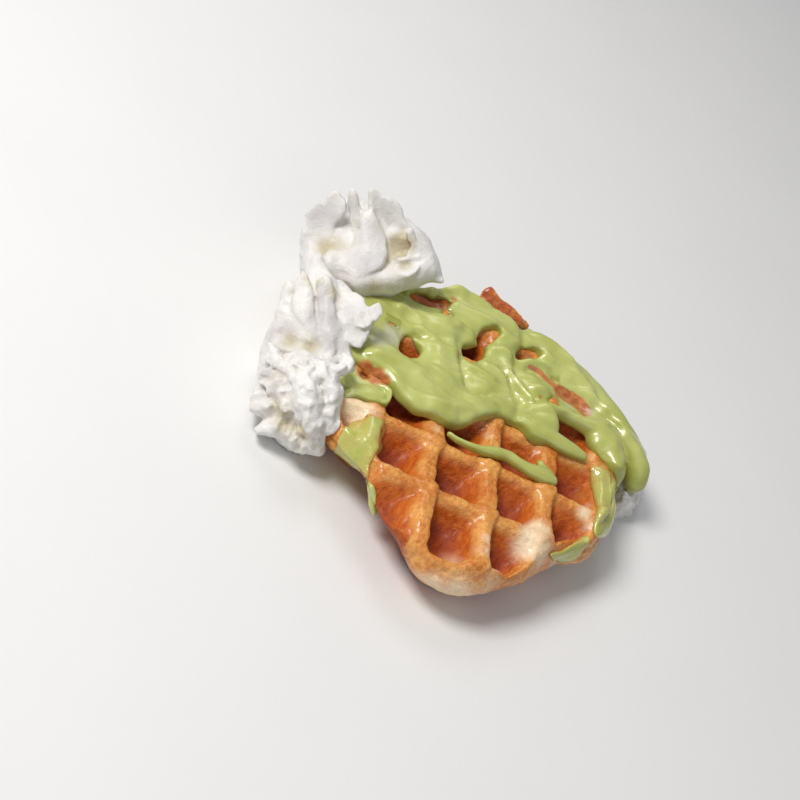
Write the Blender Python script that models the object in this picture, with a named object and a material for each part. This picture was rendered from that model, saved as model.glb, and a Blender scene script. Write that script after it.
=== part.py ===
"""Croffle: croissant dough pressed in a deep waffle iron, with thick green
pistachio sauce over its back half and whipped cream piped at its left side.

It lies flat, waffle face up. Metres, +Z up. The origin is on the underside, on
the flat crossing of two ridges; +X runs along one set of ridges, +Y along the
other, away from the bare front tip.
"""

import math

import bmesh
import bpy
from mathutils import Matrix, Vector

MM = 0.001

# ---- driving dimensions -----------------------------------------------------
PITCH = 20.0 * MM          # one cell of the waffle iron
THICKNESS = 22.0 * MM      # ridge top to ridge underside
POCKET_DEPTH = 9.5 * MM    # pockets of the upper face
BASE_POCKET_DEPTH = 6.5 * MM
RIDGE_HALF = 1.2 * MM      # half the flat of a ridge
RIDGE_ROUND = 1.1 * MM     # how far the ridge's shoulder reaches sideways
RIDGE_DROP = 1.2 * MM      # how far the shoulder falls
WALL_RUN = 3.5 * MM        # how far a pocket's wall leans in, from its ridge
GAP = 0.3 * MM             # clearance between neighbouring solids

# the plan outline: radius from the middle, every 15 degrees from +X
MIDDLE = (20.0 * MM, 20.0 * MM)
RIM_RADII = [r * MM for r in (
    49.5, 54.0, 54.5, 52.5, 54.5, 54.0, 61.0, 59.0, 56.0, 60.5, 65.0, 63.5,
    60.0, 57.5, 60.5, 57.0, 61.5, 64.5, 64.0, 56.0, 50.5, 49.5, 50.0, 50.5)]
RIM_WAVE = 0.7 * MM        # small bulges round the rim
RIM_STEPS = 56

# the rim's section: how far inside the outline and how high, and how much
# further in and up each point goes where the rim is thin
RIM_SECTION = [tuple(v * MM for v in row) for row in (
    (16.0, -0.6, 0.0, 0.0), (9.5, -0.6, 4.2, 0.0), (7.0, 0.7, 3.8, 1.0),
    (3.8, 3.4, 3.2, 2.6), (1.3, 7.0, 1.6, 2.6), (0.1, 10.6, 0.4, 1.4),
    (0.2, 14.0, 0.0, 0.0), (1.6, 18.2, 0.0, 0.0), (3.8, 21.0, 0.0, 0.0),
    (6.4, 22.7, 0.0, 0.0), (13.0, 22.7, 0.0, 0.0))]
# how thin the rim is, every 30 degrees from +X: 0 plump, 1 thin
RIM_THIN = (0.8, 0.4, 0.2, 0.3, 0.2, 0.2, 0.4, 1.0, 0.9, 0.05, 0.2, 0.7)

# green sauce: outline radius round its own middle, every 15 degrees from +X
SAUCE_MIDDLE = (20.0 * MM, 42.0 * MM)
SAUCE_RADII = [r * MM for r in (
    53.0, 47.5, 43.5, 40.5, 38.0, 33.5, 33.0, 34.5, 36.0, 36.0, 37.0, 39.0,
    43.0, 48.5, 48.5, 47.0, 42.0, 31.5, 23.5, 20.5, 21.0, 23.5, 26.5, 38.0)]
SAUCE_STEPS = 48
SAUCE_ABOVE = 3.0 * MM     # sauce over the ridge tops
SAUCE_SAG = 3.2 * MM       # how far it hangs into the pockets
SAUCE_SKIRT = 10.5 * MM    # how low it runs over the back and right rim
SAUCE_SKIRT_FROM, SAUCE_SKIRT_TO = -8.0, 66.0   # degrees round SAUCE_MIDDLE

# holes in the sauce, through which the crust shows: x, y, half length,
# half width, turn in degrees
SAUCE_HOLES = [(x * MM, y * MM, a * MM, b * MM, t) for x, y, a, b, t in (
    (-6.0, 61.5, 5.2, 2.2, 22.0),
    (-12.0, 36.5, 3.0, 3.8, -12.0),
    (9.6, 45.5, 3.0, 3.2, 20.0),
    (29.2, 59.0, 3.2, 2.2, -40.0),
    (48.5, 46.6, 6.0, 2.4, -32.0),
    (-20.0, 15.2, 3.6, 2.6, -20.0))]

# drips of sauce: points (x, y, z, half width) along each, and half its height
DRIPS = {
    "drip_thin": (1.9, [(6.0, 7.5, 23.4, 2.6), (9.5, 4.2, 23.6, 1.9),
                        (17.0, 3.6, 23.5, 2.1), (26.0, 5.4, 23.6, 2.7),
                        (34.0, 5.0, 23.4, 3.4), (40.5, 3.9, 23.0, 3.9),
                        (43.4, 3.2, 22.6, 2.4)]),
    "drip_middle": (2.5, [(26.0, 31.0, 23.4, 6.0), (33.0, 27.0, 23.4, 5.6),
                          (40.0, 23.2, 23.4, 4.6), (46.5, 22.0, 23.3, 4.0),
                          (51.5, 21.4, 22.8, 2.6)]),
    "drip_right": (2.6, [(38.0, 39.5, 23.6, 4.0), (48.0, 37.6, 23.9, 4.2),
                         (58.0, 35.4, 23.6, 5.0), (64.0, 30.0, 22.0, 5.2),
                         (67.3, 24.6, 18.6, 4.6), (68.4, 21.8, 15.4, 3.3)]),
    "drip_far": (2.6, [(66.0, 44.0, 23.0, 4.4), (72.5, 38.0, 21.8, 4.4),
                       (76.8, 33.4, 18.8, 4.2), (78.8, 30.6, 15.0, 4.0),
                       (79.3, 29.2, 12.0, 3.0)]),
}

# the glaze that runs down the left corner: the same kind of points
LEFT_RUN = (2.4, [(-28.0, 4.2, 22.8, 5.0), (-25.5, -2.2, 22.9, 6.4),
                  (-22.4, -8.4, 22.4, 7.2), (-20.4, -14.0, 19.8, 6.6),
                  (-19.4, -17.6, 15.6, 4.8), (-18.8, -18.8, 12.2, 3.0)])
LEFT_LOBE = (1.9, [(-29.0, 6.4, 23.6, 4.0), (-22.5, 8.2, 23.9, 4.0),
                   (-17.4, 8.4, 23.8, 2.4)])

# whipped cream: foot (x, y, z), half widths across and along, height, how far
# the top leans (x, y), turn of the plan, ribs, rib depth, twist, and the
# swelling of the radius from foot to top
CREAM = {
    "cream_top": dict(foot=(-29.0, 51.0, 21.0), half=(19.5, 19.5), height=27.0,
                      lean=(-9.0, 3.0), turn=10.0, ribs=9, depth=0.13, twist=50.0,
                      swell=(0.70, 0.95, 1.02, 1.00, 0.90, 0.72, 0.40)),
    "cream_middle": dict(foot=(-41.0, 24.0, 3.0), half=(16.0, 20.0), height=32.0,
                         lean=(-3.0, 1.0), turn=-8.0, ribs=8, depth=0.10, twist=35.0,
                         swell=(0.62, 0.78, 0.94, 1.06, 1.04, 0.86, 0.50)),
    "cream_lower": dict(foot=(-39.0, -0.5, 0.0), half=(15.0, 15.5), height=26.0,
                        lean=(-2.0, 2.0), turn=20.0, ribs=8, depth=0.09, twist=25.0,
                        swell=(0.80, 0.98, 1.04, 1.02, 0.92, 0.76, 0.46)),
    "cream_edge": dict(foot=(81.0, 32.5, 0.0), half=(7.6, 11.0), height=12.5,
                       lean=(0.5, 1.0), turn=24.0, ribs=6, depth=0.07, twist=15.0,
                       swell=(0.90, 1.00, 1.00, 0.92, 0.78, 0.56, 0.30)),
}
CREAM_RING = 27


# ---- helpers ----------------------------------------------------------------
def fresh_scene():
    for obj in list(bpy.data.objects):
        bpy.data.objects.remove(obj, do_unlink=True)


def new_collection(name):
    coll = bpy.data.collections.get(name) or bpy.data.collections.new(name)
    if coll.name not in bpy.context.scene.collection.children:
        bpy.context.scene.collection.children.link(coll)
    return coll


def material(name, colour, roughness, sheen=0.0):
    mat = bpy.data.materials.new(name)
    mat.use_nodes = True
    bsdf = mat.node_tree.nodes["Principled BSDF"]
    bsdf.inputs["Base Color"].default_value = (*colour, 1.0)
    bsdf.inputs["Roughness"].default_value = roughness
    bsdf.inputs["Metallic"].default_value = 0.0
    bsdf.inputs["Sheen Weight"].default_value = sheen
    return mat


def wheel(values, degrees):
    """A smooth closed curve through evenly spaced values round a circle."""
    n = len(values)
    f = (degrees % 360.0) / 360.0 * n
    i = int(math.floor(f))
    t = f - i
    a, b, c, d = (values[(i + k) % n] for k in (-1, 0, 1, 2))
    return 0.5 * (2 * b + (c - a) * t + (2 * a - 5 * b + 4 * c - d) * t * t
                  + (3 * b - a - 3 * c + d) * t ** 3)


def curve_through(values, t):
    """A smooth open curve through evenly spaced values, t from 0 to 1."""
    n = len(values) - 1
    f = min(max(t, 0.0), 1.0) * n
    i = min(int(f), n - 1)
    u = f - i
    a = values[max(i - 1, 0)]
    b, c = values[i], values[i + 1]
    d = values[min(i + 2, n)]
    return 0.5 * (2 * b + (c - a) * u + (2 * a - 5 * b + 4 * c - d) * u * u
                  + (3 * b - a - 3 * c + d) * u ** 3)


def ramp(x, lo, hi):
    t = min(max((x - lo) / (hi - lo), 0.0), 1.0)
    return t * t * (3.0 - 2.0 * t)


def object_from(bm, name, coll, mat=None, smooth=False):
    bm.normal_update()
    bmesh.ops.triangulate(bm, faces=[f for f in bm.faces if bent(f)])
    bmesh.ops.recalc_face_normals(bm, faces=bm.faces[:])
    mesh = bpy.data.meshes.new(name)
    bm.to_mesh(mesh)
    bm.free()
    obj = bpy.data.objects.new(name, mesh)
    coll.objects.link(obj)
    if mat is not None:
        mesh.materials.append(mat)
    if smooth:
        mesh.shade_smooth()
    return obj


def bent(face):
    """Whether a face's corners leave its plane by more than a micron."""
    if len(face.verts) == 3:
        return False
    middle, normal = face.calc_center_median(), face.normal
    return any(abs((v.co - middle).dot(normal)) > 1e-6 for v in face.verts)


def loft(rings, name, coll, mat=None, smooth=False):
    """A closed skin over rings of one count, with a flat cap at each end."""
    bm = bmesh.new()
    loops = [[bm.verts.new(p) for p in ring] for ring in rings]
    n = len(rings[0])
    for low, high in zip(loops, loops[1:]):
        for k in range(n):
            bm.faces.new((low[k], low[(k + 1) % n], high[(k + 1) % n], high[k]))
    bm.faces.new(list(reversed(loops[0])))
    bm.faces.new(loops[-1])
    return object_from(bm, name, coll, mat, smooth)


def as_cutter(obj):
    obj.hide_render = True
    obj.display_type = 'WIRE'
    return obj


def boolean(obj, other, how):
    mod = obj.modifiers.new(f"{how.lower()} {other.name}", 'BOOLEAN')
    mod.operation = how
    mod.solver = 'EXACT'
    mod.object = other
    return mod


def weld(obj, distance=0.02 * MM):
    mod = obj.modifiers.new("weld", 'WELD')
    mod.merge_threshold = distance


# ---- the waffle iron's pattern -------------------------------------------------
def pattern_lines(lo, hi, wall):
    """Grid lines that follow the ridges' flats, shoulders and pocket walls."""
    lines = [lo]
    first, last = math.floor(lo / PITCH) - 1, math.ceil(hi / PITCH) + 1
    reach = [d for d, _ in wall]
    for k in range(first, last + 1):
        for off in [-d for d in reversed(reach)] + reach:
            p = k * PITCH + off
            if lo + 0.5 * MM < p < hi - 0.5 * MM:
                lines.append(p)
    lines.append(hi)
    return sorted(lines)


def ridge_wall(depth, rounded):
    """A ridge's half section: distance from its middle line, and fall."""
    if rounded:
        return [(RIDGE_HALF, 0.0), (RIDGE_HALF + RIDGE_ROUND, RIDGE_DROP),
                (RIDGE_HALF + WALL_RUN, depth)]
    return [(RIDGE_HALF + RIDGE_ROUND * 0.4, 0.0), (RIDGE_HALF + WALL_RUN, depth)]


def room_wall(depth):
    """The same half section with the clearance round it."""
    return [(RIDGE_HALF + RIDGE_ROUND + GAP, 0.0), (RIDGE_HALF + WALL_RUN + GAP, depth)]


def wall_fall(x, wall):
    """How far the surface has fallen at x from the nearest ridge line."""
    d = abs(x - round(x / PITCH) * PITCH)
    for (d0, f0), (d1, f1) in zip(wall, wall[1:]):
        if d <= d0:
            return f0
        if d < d1:
            return f0 + (f1 - f0) * (d - d0) / (d1 - d0)
    return wall[-1][1]


def pocket(x, y, wall):
    return min(wall_fall(x, wall), wall_fall(y, wall))


def stamped_slab(name, coll, wall, height, flat_z):
    """A block whose one face is pressed by the iron and whose other is flat."""
    reach = 71.0 * MM
    xs = pattern_lines(MIDDLE[0] - reach, MIDDLE[0] + reach, wall)
    ys = pattern_lines(MIDDLE[1] - reach, MIDDLE[1] + reach, wall)
    nx, ny = len(xs) - 1, len(ys) - 1
    bm = bmesh.new()
    bmesh.ops.create_grid(bm, x_segments=nx, y_segments=ny, size=0.5)
    for v in bm.verts:
        i = int(round((v.co.x + 0.5) * nx))
        j = int(round((v.co.y + 0.5) * ny))
        v.co = (xs[i], ys[j], height(xs[i], ys[j]))
    made = bmesh.ops.extrude_face_region(bm, geom=bm.faces[:])
    for v in made["geom"]:
        if isinstance(v, bmesh.types.BMVert):
            v.co.z = flat_z
    flat = [f for f in bm.faces if all(abs(v.co.z - flat_z) < 1e-7 for v in f.verts)]
    bmesh.ops.dissolve_faces(bm, faces=flat)
    return object_from(bm, name, coll)


def rim_radius(degrees):
    wave = RIM_WAVE * (math.sin(math.radians(9.0 * degrees + 40.0))
                       + 0.6 * math.sin(math.radians(17.0 * degrees)))
    return wheel(RIM_RADII, degrees) + wave


def dough_envelope(name, coll, grow=0.0):
    """The dough's outer form: the wavy oval with its rounded rim."""
    rings = []
    for inset, z, tuck, rise in RIM_SECTION:
        ring = []
        lift = grow if z > THICKNESS * 0.5 else -grow
        for k in range(RIM_STEPS):
            deg = 360.0 * k / RIM_STEPS
            thin = min(max(wheel(RIM_THIN, deg), 0.0), 1.0)
            r = rim_radius(deg) - inset - thin * tuck + grow
            a = math.radians(deg)
            ring.append(Vector((MIDDLE[0] + r * math.cos(a),
                                MIDDLE[1] + r * math.sin(a), z + thin * rise + lift)))
        rings.append(ring)
    return loft(rings, name, coll)


def dough(name, coll, cutters, mat=None, grow=0.0):
    """The pressed dough; grow makes the same form a little larger."""
    body = dough_envelope(name, coll, grow)
    if mat is not None:
        body.data.materials.append(mat)
    wall = room_wall(POCKET_DEPTH) if grow else ridge_wall(POCKET_DEPTH, True)
    upper = stamped_slab(f"{name}_upper_press", cutters, wall,
                         lambda x, y: THICKNESS + grow - pocket(x, y, wall), -6.0 * MM)
    boolean(body, as_cutter(upper), 'INTERSECT')
    if not grow:
        base = ridge_wall(BASE_POCKET_DEPTH, False)
        lower = stamped_slab(f"{name}_lower_press", cutters, base,
                             lambda x, y: pocket(x, y, base), THICKNESS + 8.0 * MM)
        boolean(body, as_cutter(lower), 'INTERSECT')
    return body


# ---- sauce --------------------------------------------------------------------
def sauce_blanket(name, coll, mat):
    """The poured sheet: thick over the ridges, over the rim at back and right."""
    rings = []
    section = [  # share of the radius, height, how much the skirt lowers it
        (0.30, THICKNESS - SAUCE_SAG, 0.0), (0.80, THICKNESS - SAUCE_SAG, 0.0),
        (0.93, THICKNESS - SAUCE_SAG * 0.7, 1.0), (1.00, THICKNESS, 1.0),
        (1.00, THICKNESS + SAUCE_ABOVE * 0.45, 0.62), (0.955, THICKNESS + SAUCE_ABOVE * 0.95, 0.16),
        (0.86, THICKNESS + SAUCE_ABOVE * 1.15, 0.0), (0.68, THICKNESS + SAUCE_ABOVE, 0.0),
        (0.45, THICKNESS + SAUCE_ABOVE * 0.9, 0.0), (0.20, THICKNESS + SAUCE_ABOVE, 0.0)]
    for share, z, drop in section:
        ring = []
        for k in range(SAUCE_STEPS):
            deg = 360.0 * k / SAUCE_STEPS
            turn = (deg + 180.0) % 360.0 - 180.0
            skirt = (ramp(turn, SAUCE_SKIRT_FROM - 8, SAUCE_SKIRT_FROM + 8)
                     * (1 - ramp(turn, SAUCE_SKIRT_TO - 12, SAUCE_SKIRT_TO + 12)))
            a = math.radians(deg)
            r = wheel(SAUCE_RADII, deg) * share
            x = SAUCE_MIDDLE[0] + r * math.cos(a)
            y = SAUCE_MIDDLE[1] + r * math.sin(a)
            swell = 0.8 * MM * math.sin(x / (6.4 * MM)) * math.cos(y / (7.3 * MM))
            top = swell if z > THICKNESS + 1.0 * MM else 0.0
            ring.append(Vector((x, y, z + top - drop * skirt * SAUCE_SKIRT)))
        rings.append(ring)
    return loft(rings, name, coll, mat, smooth=True)


def flow(name, coll, half_height, points, mat=None, grow=0.0):
    """A run of thick sauce: a flattened tube whose width follows its points."""
    steps, sides = 2 * (len(points) - 1), 8
    line = [Vector([curve_through([p[k] for p in points], i / steps) * MM
                    for k in range(3)]) for i in range(steps + 1)]
    width = [curve_through([p[3] for p in points], i / steps) * MM for i in range(steps + 1)]
    rings = []
    for i, centre in enumerate(line):
        along = (line[min(i + 1, steps)] - line[max(i - 1, 0)]).normalized()
        side = along.cross(Vector((0, 0, 1))).normalized()
        up = side.cross(along).normalized()
        for end, shift in (((0.55, -0.75),) if i == 0 else ()):
            rings.append(oval(centre + along * shift * width[0], side, up, width[i] * end + grow,
                              half_height * MM * end + grow, sides))
        rings.append(oval(centre, side, up, width[i] + grow, half_height * MM + grow, sides))
        if i == steps:
            rings.append(oval(centre + along * 0.75 * width[i], side, up,
                              width[i] * 0.55 + grow, half_height * MM * 0.55 + grow, sides))
    return loft(rings, name, coll, mat, smooth=True)


def oval(centre, side, up, a, b, count):
    return [centre + side * a * math.cos(2 * math.pi * k / count)
            + up * b * math.sin(2 * math.pi * k / count) for k in range(count)]


# ---- cream --------------------------------------------------------------------
def cream(name, coll, shape, mat=None, grow=0.0):
    """A piped dollop: star rings that twist, swell and lean as they rise."""
    fx, fy, fz = (c * MM for c in shape["foot"])
    levels = 9
    rings = []
    for i in range(levels):
        t = i / (levels - 1)
        body = curve_through(shape["swell"], t)
        cx = fx + shape["lean"][0] * MM * t ** 1.3
        cy = fy + shape["lean"][1] * MM * t ** 1.3
        z = fz + shape["height"] * MM * (1 - (1 - t) ** 1.15)
        if grow:
            z += grow * (2 * t - 1)
        ring = []
        for k in range(CREAM_RING):
            a = 2 * math.pi * k / CREAM_RING
            star = 1 + shape["depth"] * math.cos(shape["ribs"] * a + math.radians(shape["twist"]) * t * 6)
            lump = 1 + 0.05 * math.sin(2 * a + 5 * t) + 0.04 * math.cos(3 * a - 7 * t)
            px = (shape["half"][0] * MM * body * star * lump + grow) * math.cos(a)
            py = (shape["half"][1] * MM * body * star * lump + grow) * math.sin(a)
            turn = math.radians(shape["turn"])
            ring.append(Vector((cx + px * math.cos(turn) - py * math.sin(turn),
                                cy + px * math.sin(turn) + py * math.cos(turn), z)))
        rings.append(ring)
    return loft(rings, name, coll, mat, smooth=True)


def sauce_room(cutters):
    """The far drip with clearance, so that the cream below it stays clear."""
    half_height, points = DRIPS["drip_far"]
    return as_cutter(flow("drip_far_room", cutters, half_height, points, grow=GAP))


# ---- the object ---------------------------------------------------------------
def build():
    fresh_scene()
    parts = new_collection("croffle")
    cutters = new_collection("croffle_cutters")

    crust = material("baked_crust", (0.50, 0.20, 0.055), 0.45)
    green = material("pistachio_sauce", (0.42, 0.52, 0.13), 0.22)
    white = material("whipped_cream", (0.80, 0.78, 0.73), 0.55)

    # the pressed dough, and the same form grown by the clearance
    dough("croffle", parts, cutters, crust)
    room = as_cutter(dough("croffle_room", cutters, cutters, grow=GAP))

    # cream: each dollop clears the dough and the dollops piped before it
    order = ["cream_lower", "cream_middle", "cream_top", "cream_edge"]
    solids, rooms = {}, {}
    for name in order:
        solids[name] = cream(name, parts, CREAM[name], white)
        rooms[name] = as_cutter(cream(f"{name}_room", cutters, CREAM[name], grow=GAP))
    for name in order:
        boolean(solids[name], room, 'DIFFERENCE')
    boolean(solids["cream_middle"], rooms["cream_lower"], 'DIFFERENCE')
    boolean(solids["cream_top"], rooms["cream_middle"], 'DIFFERENCE')

    # the main pour with its drips, cut round the dough, the holes and the cream
    sauce = sauce_blanket("green_sauce", parts, green)
    for name, (half_height, points) in DRIPS.items():
        boolean(sauce, as_cutter(flow(name, cutters, half_height, points)), 'UNION')
    for k, (x, y, a, b, turn) in enumerate(SAUCE_HOLES):
        bpy.ops.mesh.primitive_cylinder_add(vertices=12, radius=1.0, depth=1.0)
        hole = bpy.context.active_object
        hole.name = f"hole_{k}"
        hole.data.transform(Matrix.Diagonal((a, b, 16.0 * MM, 1.0)))
        hole.rotation_euler = (0, 0, math.radians(turn))
        hole.location = (x, y, THICKNESS + 2.0 * MM)
        for coll in list(hole.users_collection):
            coll.objects.unlink(hole)
        cutters.objects.link(hole)
        boolean(sauce, as_cutter(hole), 'DIFFERENCE')

    # the glaze on the left corner is a pour of its own
    left = flow("green_sauce_left", parts, *LEFT_RUN, green)
    boolean(left, as_cutter(flow("left_lobe", cutters, *LEFT_LOBE)), 'UNION')

    for name in ("cream_top", "cream_middle"):
        boolean(sauce, rooms[name], 'DIFFERENCE')
    for name in ("cream_middle", "cream_lower"):
        boolean(left, rooms[name], 'DIFFERENCE')
    boolean(solids["cream_edge"], sauce_room(cutters), 'DIFFERENCE')
    boolean(sauce, room, 'DIFFERENCE')
    boolean(left, room, 'DIFFERENCE')
    for obj in (*solids.values(), sauce, left):
        weld(obj)

    bpy.context.view_layer.update()


build()
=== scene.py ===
"""Looks of the croffle: flaky pressed dough, poured green sauce and whipped cream.

Every piece is a closed mesh drawn round a smooth 3-D field, in the same frame as
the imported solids. Lengths in this script are millimetres until a mesh is made.
"""

import math

import bpy
import numpy as np
from mathutils import Matrix


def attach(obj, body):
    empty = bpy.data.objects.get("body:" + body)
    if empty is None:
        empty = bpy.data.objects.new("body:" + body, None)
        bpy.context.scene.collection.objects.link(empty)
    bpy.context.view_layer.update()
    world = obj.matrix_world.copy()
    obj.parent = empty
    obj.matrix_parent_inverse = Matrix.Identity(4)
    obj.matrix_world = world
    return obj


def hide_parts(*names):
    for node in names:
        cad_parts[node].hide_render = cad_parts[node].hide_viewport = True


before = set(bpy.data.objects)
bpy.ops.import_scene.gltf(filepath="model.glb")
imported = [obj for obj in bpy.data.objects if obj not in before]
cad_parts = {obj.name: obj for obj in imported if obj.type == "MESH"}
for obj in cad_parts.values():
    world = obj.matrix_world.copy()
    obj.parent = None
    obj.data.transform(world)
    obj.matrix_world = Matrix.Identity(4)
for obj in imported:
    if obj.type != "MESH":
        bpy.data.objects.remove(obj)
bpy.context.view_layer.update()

MM = 0.001

# ---- camera: the photograph's viewing direction, in the part's frame ------------
FOCAL = 1400.0             # pixels, for a picture 800 wide
EYE = np.array([-126.85, -294.13, 291.47])
RIGHT = np.array([0.86842, 0.10339, 0.48494])
UP = np.array([-0.41515, 0.68637, 0.59712])
AHEAD = np.array([0.27111, 0.71987, -0.63897])


def at(px, py, z):
    """The point of the level z that the picture shows at px, py."""
    ray = AHEAD + RIGHT * ((px - 400.0) / FOCAL) - UP * ((py - 400.0) / FOCAL)
    return EYE + ray * ((z - EYE[2]) / ray[2])


def seen(x, y, z):
    """Where the picture shows a point."""
    d = [x - EYE[0], y - EYE[1], z - EYE[2]]
    depth = sum(d[i] * AHEAD[i] for i in range(3))
    return (400.0 + FOCAL * sum(d[i] * RIGHT[i] for i in range(3)) / depth,
            400.0 - FOCAL * sum(d[i] * UP[i] for i in range(3)) / depth)


# ---- the dough's sizes, as in the CAD -------------------------------------------
PITCH, THICKNESS = 20.0, 22.0
POCKET_DEPTH, BASE_DEPTH = 9.5, 6.5
MIDDLE = (20.0, 20.0)
RIM_RADII = (49.5, 54.0, 54.5, 52.5, 54.5, 54.0, 61.0, 59.0, 56.0, 60.5, 65.0, 63.5,
             60.0, 57.5, 60.5, 57.0, 61.5, 64.5, 64.0, 56.0, 50.5, 49.5, 50.0, 50.5)
RIM_SECTION = ((9.5, -0.6, 4.2, 0.0), (7.0, 0.7, 3.8, 1.0), (3.8, 3.4, 3.2, 2.6),
               (1.3, 7.0, 1.6, 2.6), (0.1, 10.6, 0.4, 1.4), (0.2, 14.0, 0.0, 0.0),
               (1.6, 18.2, 0.0, 0.0), (3.8, 21.0, 0.0, 0.0), (6.4, 22.7, 0.0, 0.0))
RIM_THIN = (0.8, 0.4, 0.2, 0.3, 0.2, 0.2, 0.4, 1.0, 0.9, 0.05, 0.2, 0.7)


# ---- noise ----------------------------------------------------------------------
TABLE = np.random.default_rng(20261).random((32, 32, 32)).astype(np.float32) * 2 - 1
TURN = np.array(Matrix.Rotation(0.61, 3, (0.3, 0.8, 0.52)), dtype=float)


def noise(x, y, z, size, seed=0):
    """Smooth noise from -1 to 1 whose lumps are about size across."""
    x, y, z = np.broadcast_arrays(np.asarray(x, float), np.asarray(y, float), np.asarray(z, float))
    q = [(TURN[i][0] * x + TURN[i][1] * y + TURN[i][2] * z) / size + 11.7 + seed * 7.31 * (i + 1)
         for i in range(3)]
    cell = [np.floor(v).astype(np.int32) for v in q]
    part = [v - c for v, c in zip(q, cell)]
    part = [t * t * t * (t * (t * 6 - 15) + 10) for t in part]
    total = np.zeros(x.shape)
    for a in (0, 1):
        for b in (0, 1):
            for c in (0, 1):
                weight = ((part[0] if a else 1 - part[0]) * (part[1] if b else 1 - part[1])
                          * (part[2] if c else 1 - part[2]))
                total += weight * TABLE[(cell[0] + a) & 31, (cell[1] + b) & 31, (cell[2] + c) & 31]
    return total * 1.5


def layers(x, y, z, size, seed=0, count=3):
    """Noise of several sizes on top of one another."""
    return sum(noise(x, y, z, size * 0.5 ** k, seed + k * 3) * 0.5 ** k for k in range(count))


def crests(x, y, z, size, seed=0, count=2):
    """Noise folded into sharp crests, 0 to 1."""
    return sum((1 - np.abs(noise(x, y, z, size * 0.5 ** k, seed + k * 5))) * 0.5 ** k
               for k in range(count)) / sum(0.5 ** k for k in range(count))


# ---- small tools ------------------------------------------------------------------
def smin(a, b, k):
    h = np.clip(0.5 + 0.5 * (b - a) / k, 0, 1)
    return b * (1 - h) + a * h - k * h * (1 - h)


def smax(a, b, k):
    return -smin(-a, -b, k)


def ease(x, lo, hi):
    t = np.clip((x - lo) / (hi - lo), 0, 1)
    return t * t * (3 - 2 * t)


def wheel(values, degrees):
    """A smooth closed curve through evenly spaced values round a circle."""
    values = np.asarray(values, float)
    n = len(values)
    f = (np.asarray(degrees) % 360.0) / 360.0 * n
    i = np.floor(f).astype(int)
    t = f - i
    a, b, c, d = (values[(i + k) % n] for k in (-1, 0, 1, 2))
    return 0.5 * (2 * b + (c - a) * t + (2 * a - 5 * b + 4 * c - d) * t * t
                  + (3 * b - a - 3 * c + d) * t ** 3)


def threaded(points, parts=6, closed=False):
    """Points along a smooth curve through the given ones."""
    p = np.asarray(points, float)
    n = len(p)
    out = []
    for i in range(n if closed else n - 1):
        a, b, c, d = (p[(i + k) % n] if closed else p[min(max(i + k, 0), n - 1)]
                      for k in (-1, 0, 1, 2))
        for s in range(parts):
            t = s / parts
            out.append(0.5 * (2 * b + (c - a) * t + (2 * a - 5 * b + 4 * c - d) * t * t
                              + (3 * b - a - 3 * c + d) * t ** 3))
    if not closed:
        out.append(p[-1])
    return np.array(out)


def inside_by(x, y, loop):
    """Distance to a closed outline, below zero inside it."""
    shape = np.shape(x)
    x, y = np.ravel(x), np.ravel(y)
    near = np.full(x.shape, 1e9)
    odd = np.zeros(x.shape, bool)
    for (x0, y0), (x1, y1) in zip(loop, np.roll(loop, -1, axis=0)):
        ex, ey = x1 - x0, y1 - y0
        t = np.clip(((x - x0) * ex + (y - y0) * ey) / max(ex * ex + ey * ey, 1e-9), 0, 1)
        near = np.minimum(near, (x - x0 - t * ex) ** 2 + (y - y0 - t * ey) ** 2)
        if abs(ey) > 1e-12:
            cross = (y0 > y) != (y1 > y)
            odd ^= cross & (x < x0 + (y - y0) / ey * ex)
    near = np.sqrt(near)
    return np.where(odd, -near, near).reshape(shape)


def blurred(total, rounds):
    """A height map smoothed over its neighbours."""
    for _ in range(rounds):
        for axis in (0, 1):
            total = 0.25 * np.roll(total, 1, axis) + 0.5 * total + 0.25 * np.roll(total, -1, axis)
    return total


def plan_loop(pixels, z, parts=5):
    """An outline given in the picture, laid on the level z."""
    return threaded([at(px, py, z)[:2] for px, py in pixels], parts, closed=True)


# ---- fields on a grid, and meshes round them ------------------------------------------
def trilinear(F, q):
    """A field's value at points given in grid steps."""
    top = np.array(F.shape) - 1.001
    q = np.clip(q, 0, top)
    i = q.astype(int)
    t = q - i
    total = 0.0
    for a in (0, 1):
        for b in (0, 1):
            for c in (0, 1):
                w = ((t[:, 0] if a else 1 - t[:, 0]) * (t[:, 1] if b else 1 - t[:, 1])
                     * (t[:, 2] if c else 1 - t[:, 2]))
                total = total + w * F[i[:, 0] + a, i[:, 1] + b, i[:, 2] + c]
    return total


def slope(F, q):
    """The field's gradient, per grid step, at points given in grid steps."""
    out = np.empty((len(q), 3))
    for axis in range(3):
        step = np.zeros(3)
        step[axis] = 0.6
        out[:, axis] = (trilinear(F, q + step) - trilinear(F, q - step)) / 1.2
    return out


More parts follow.
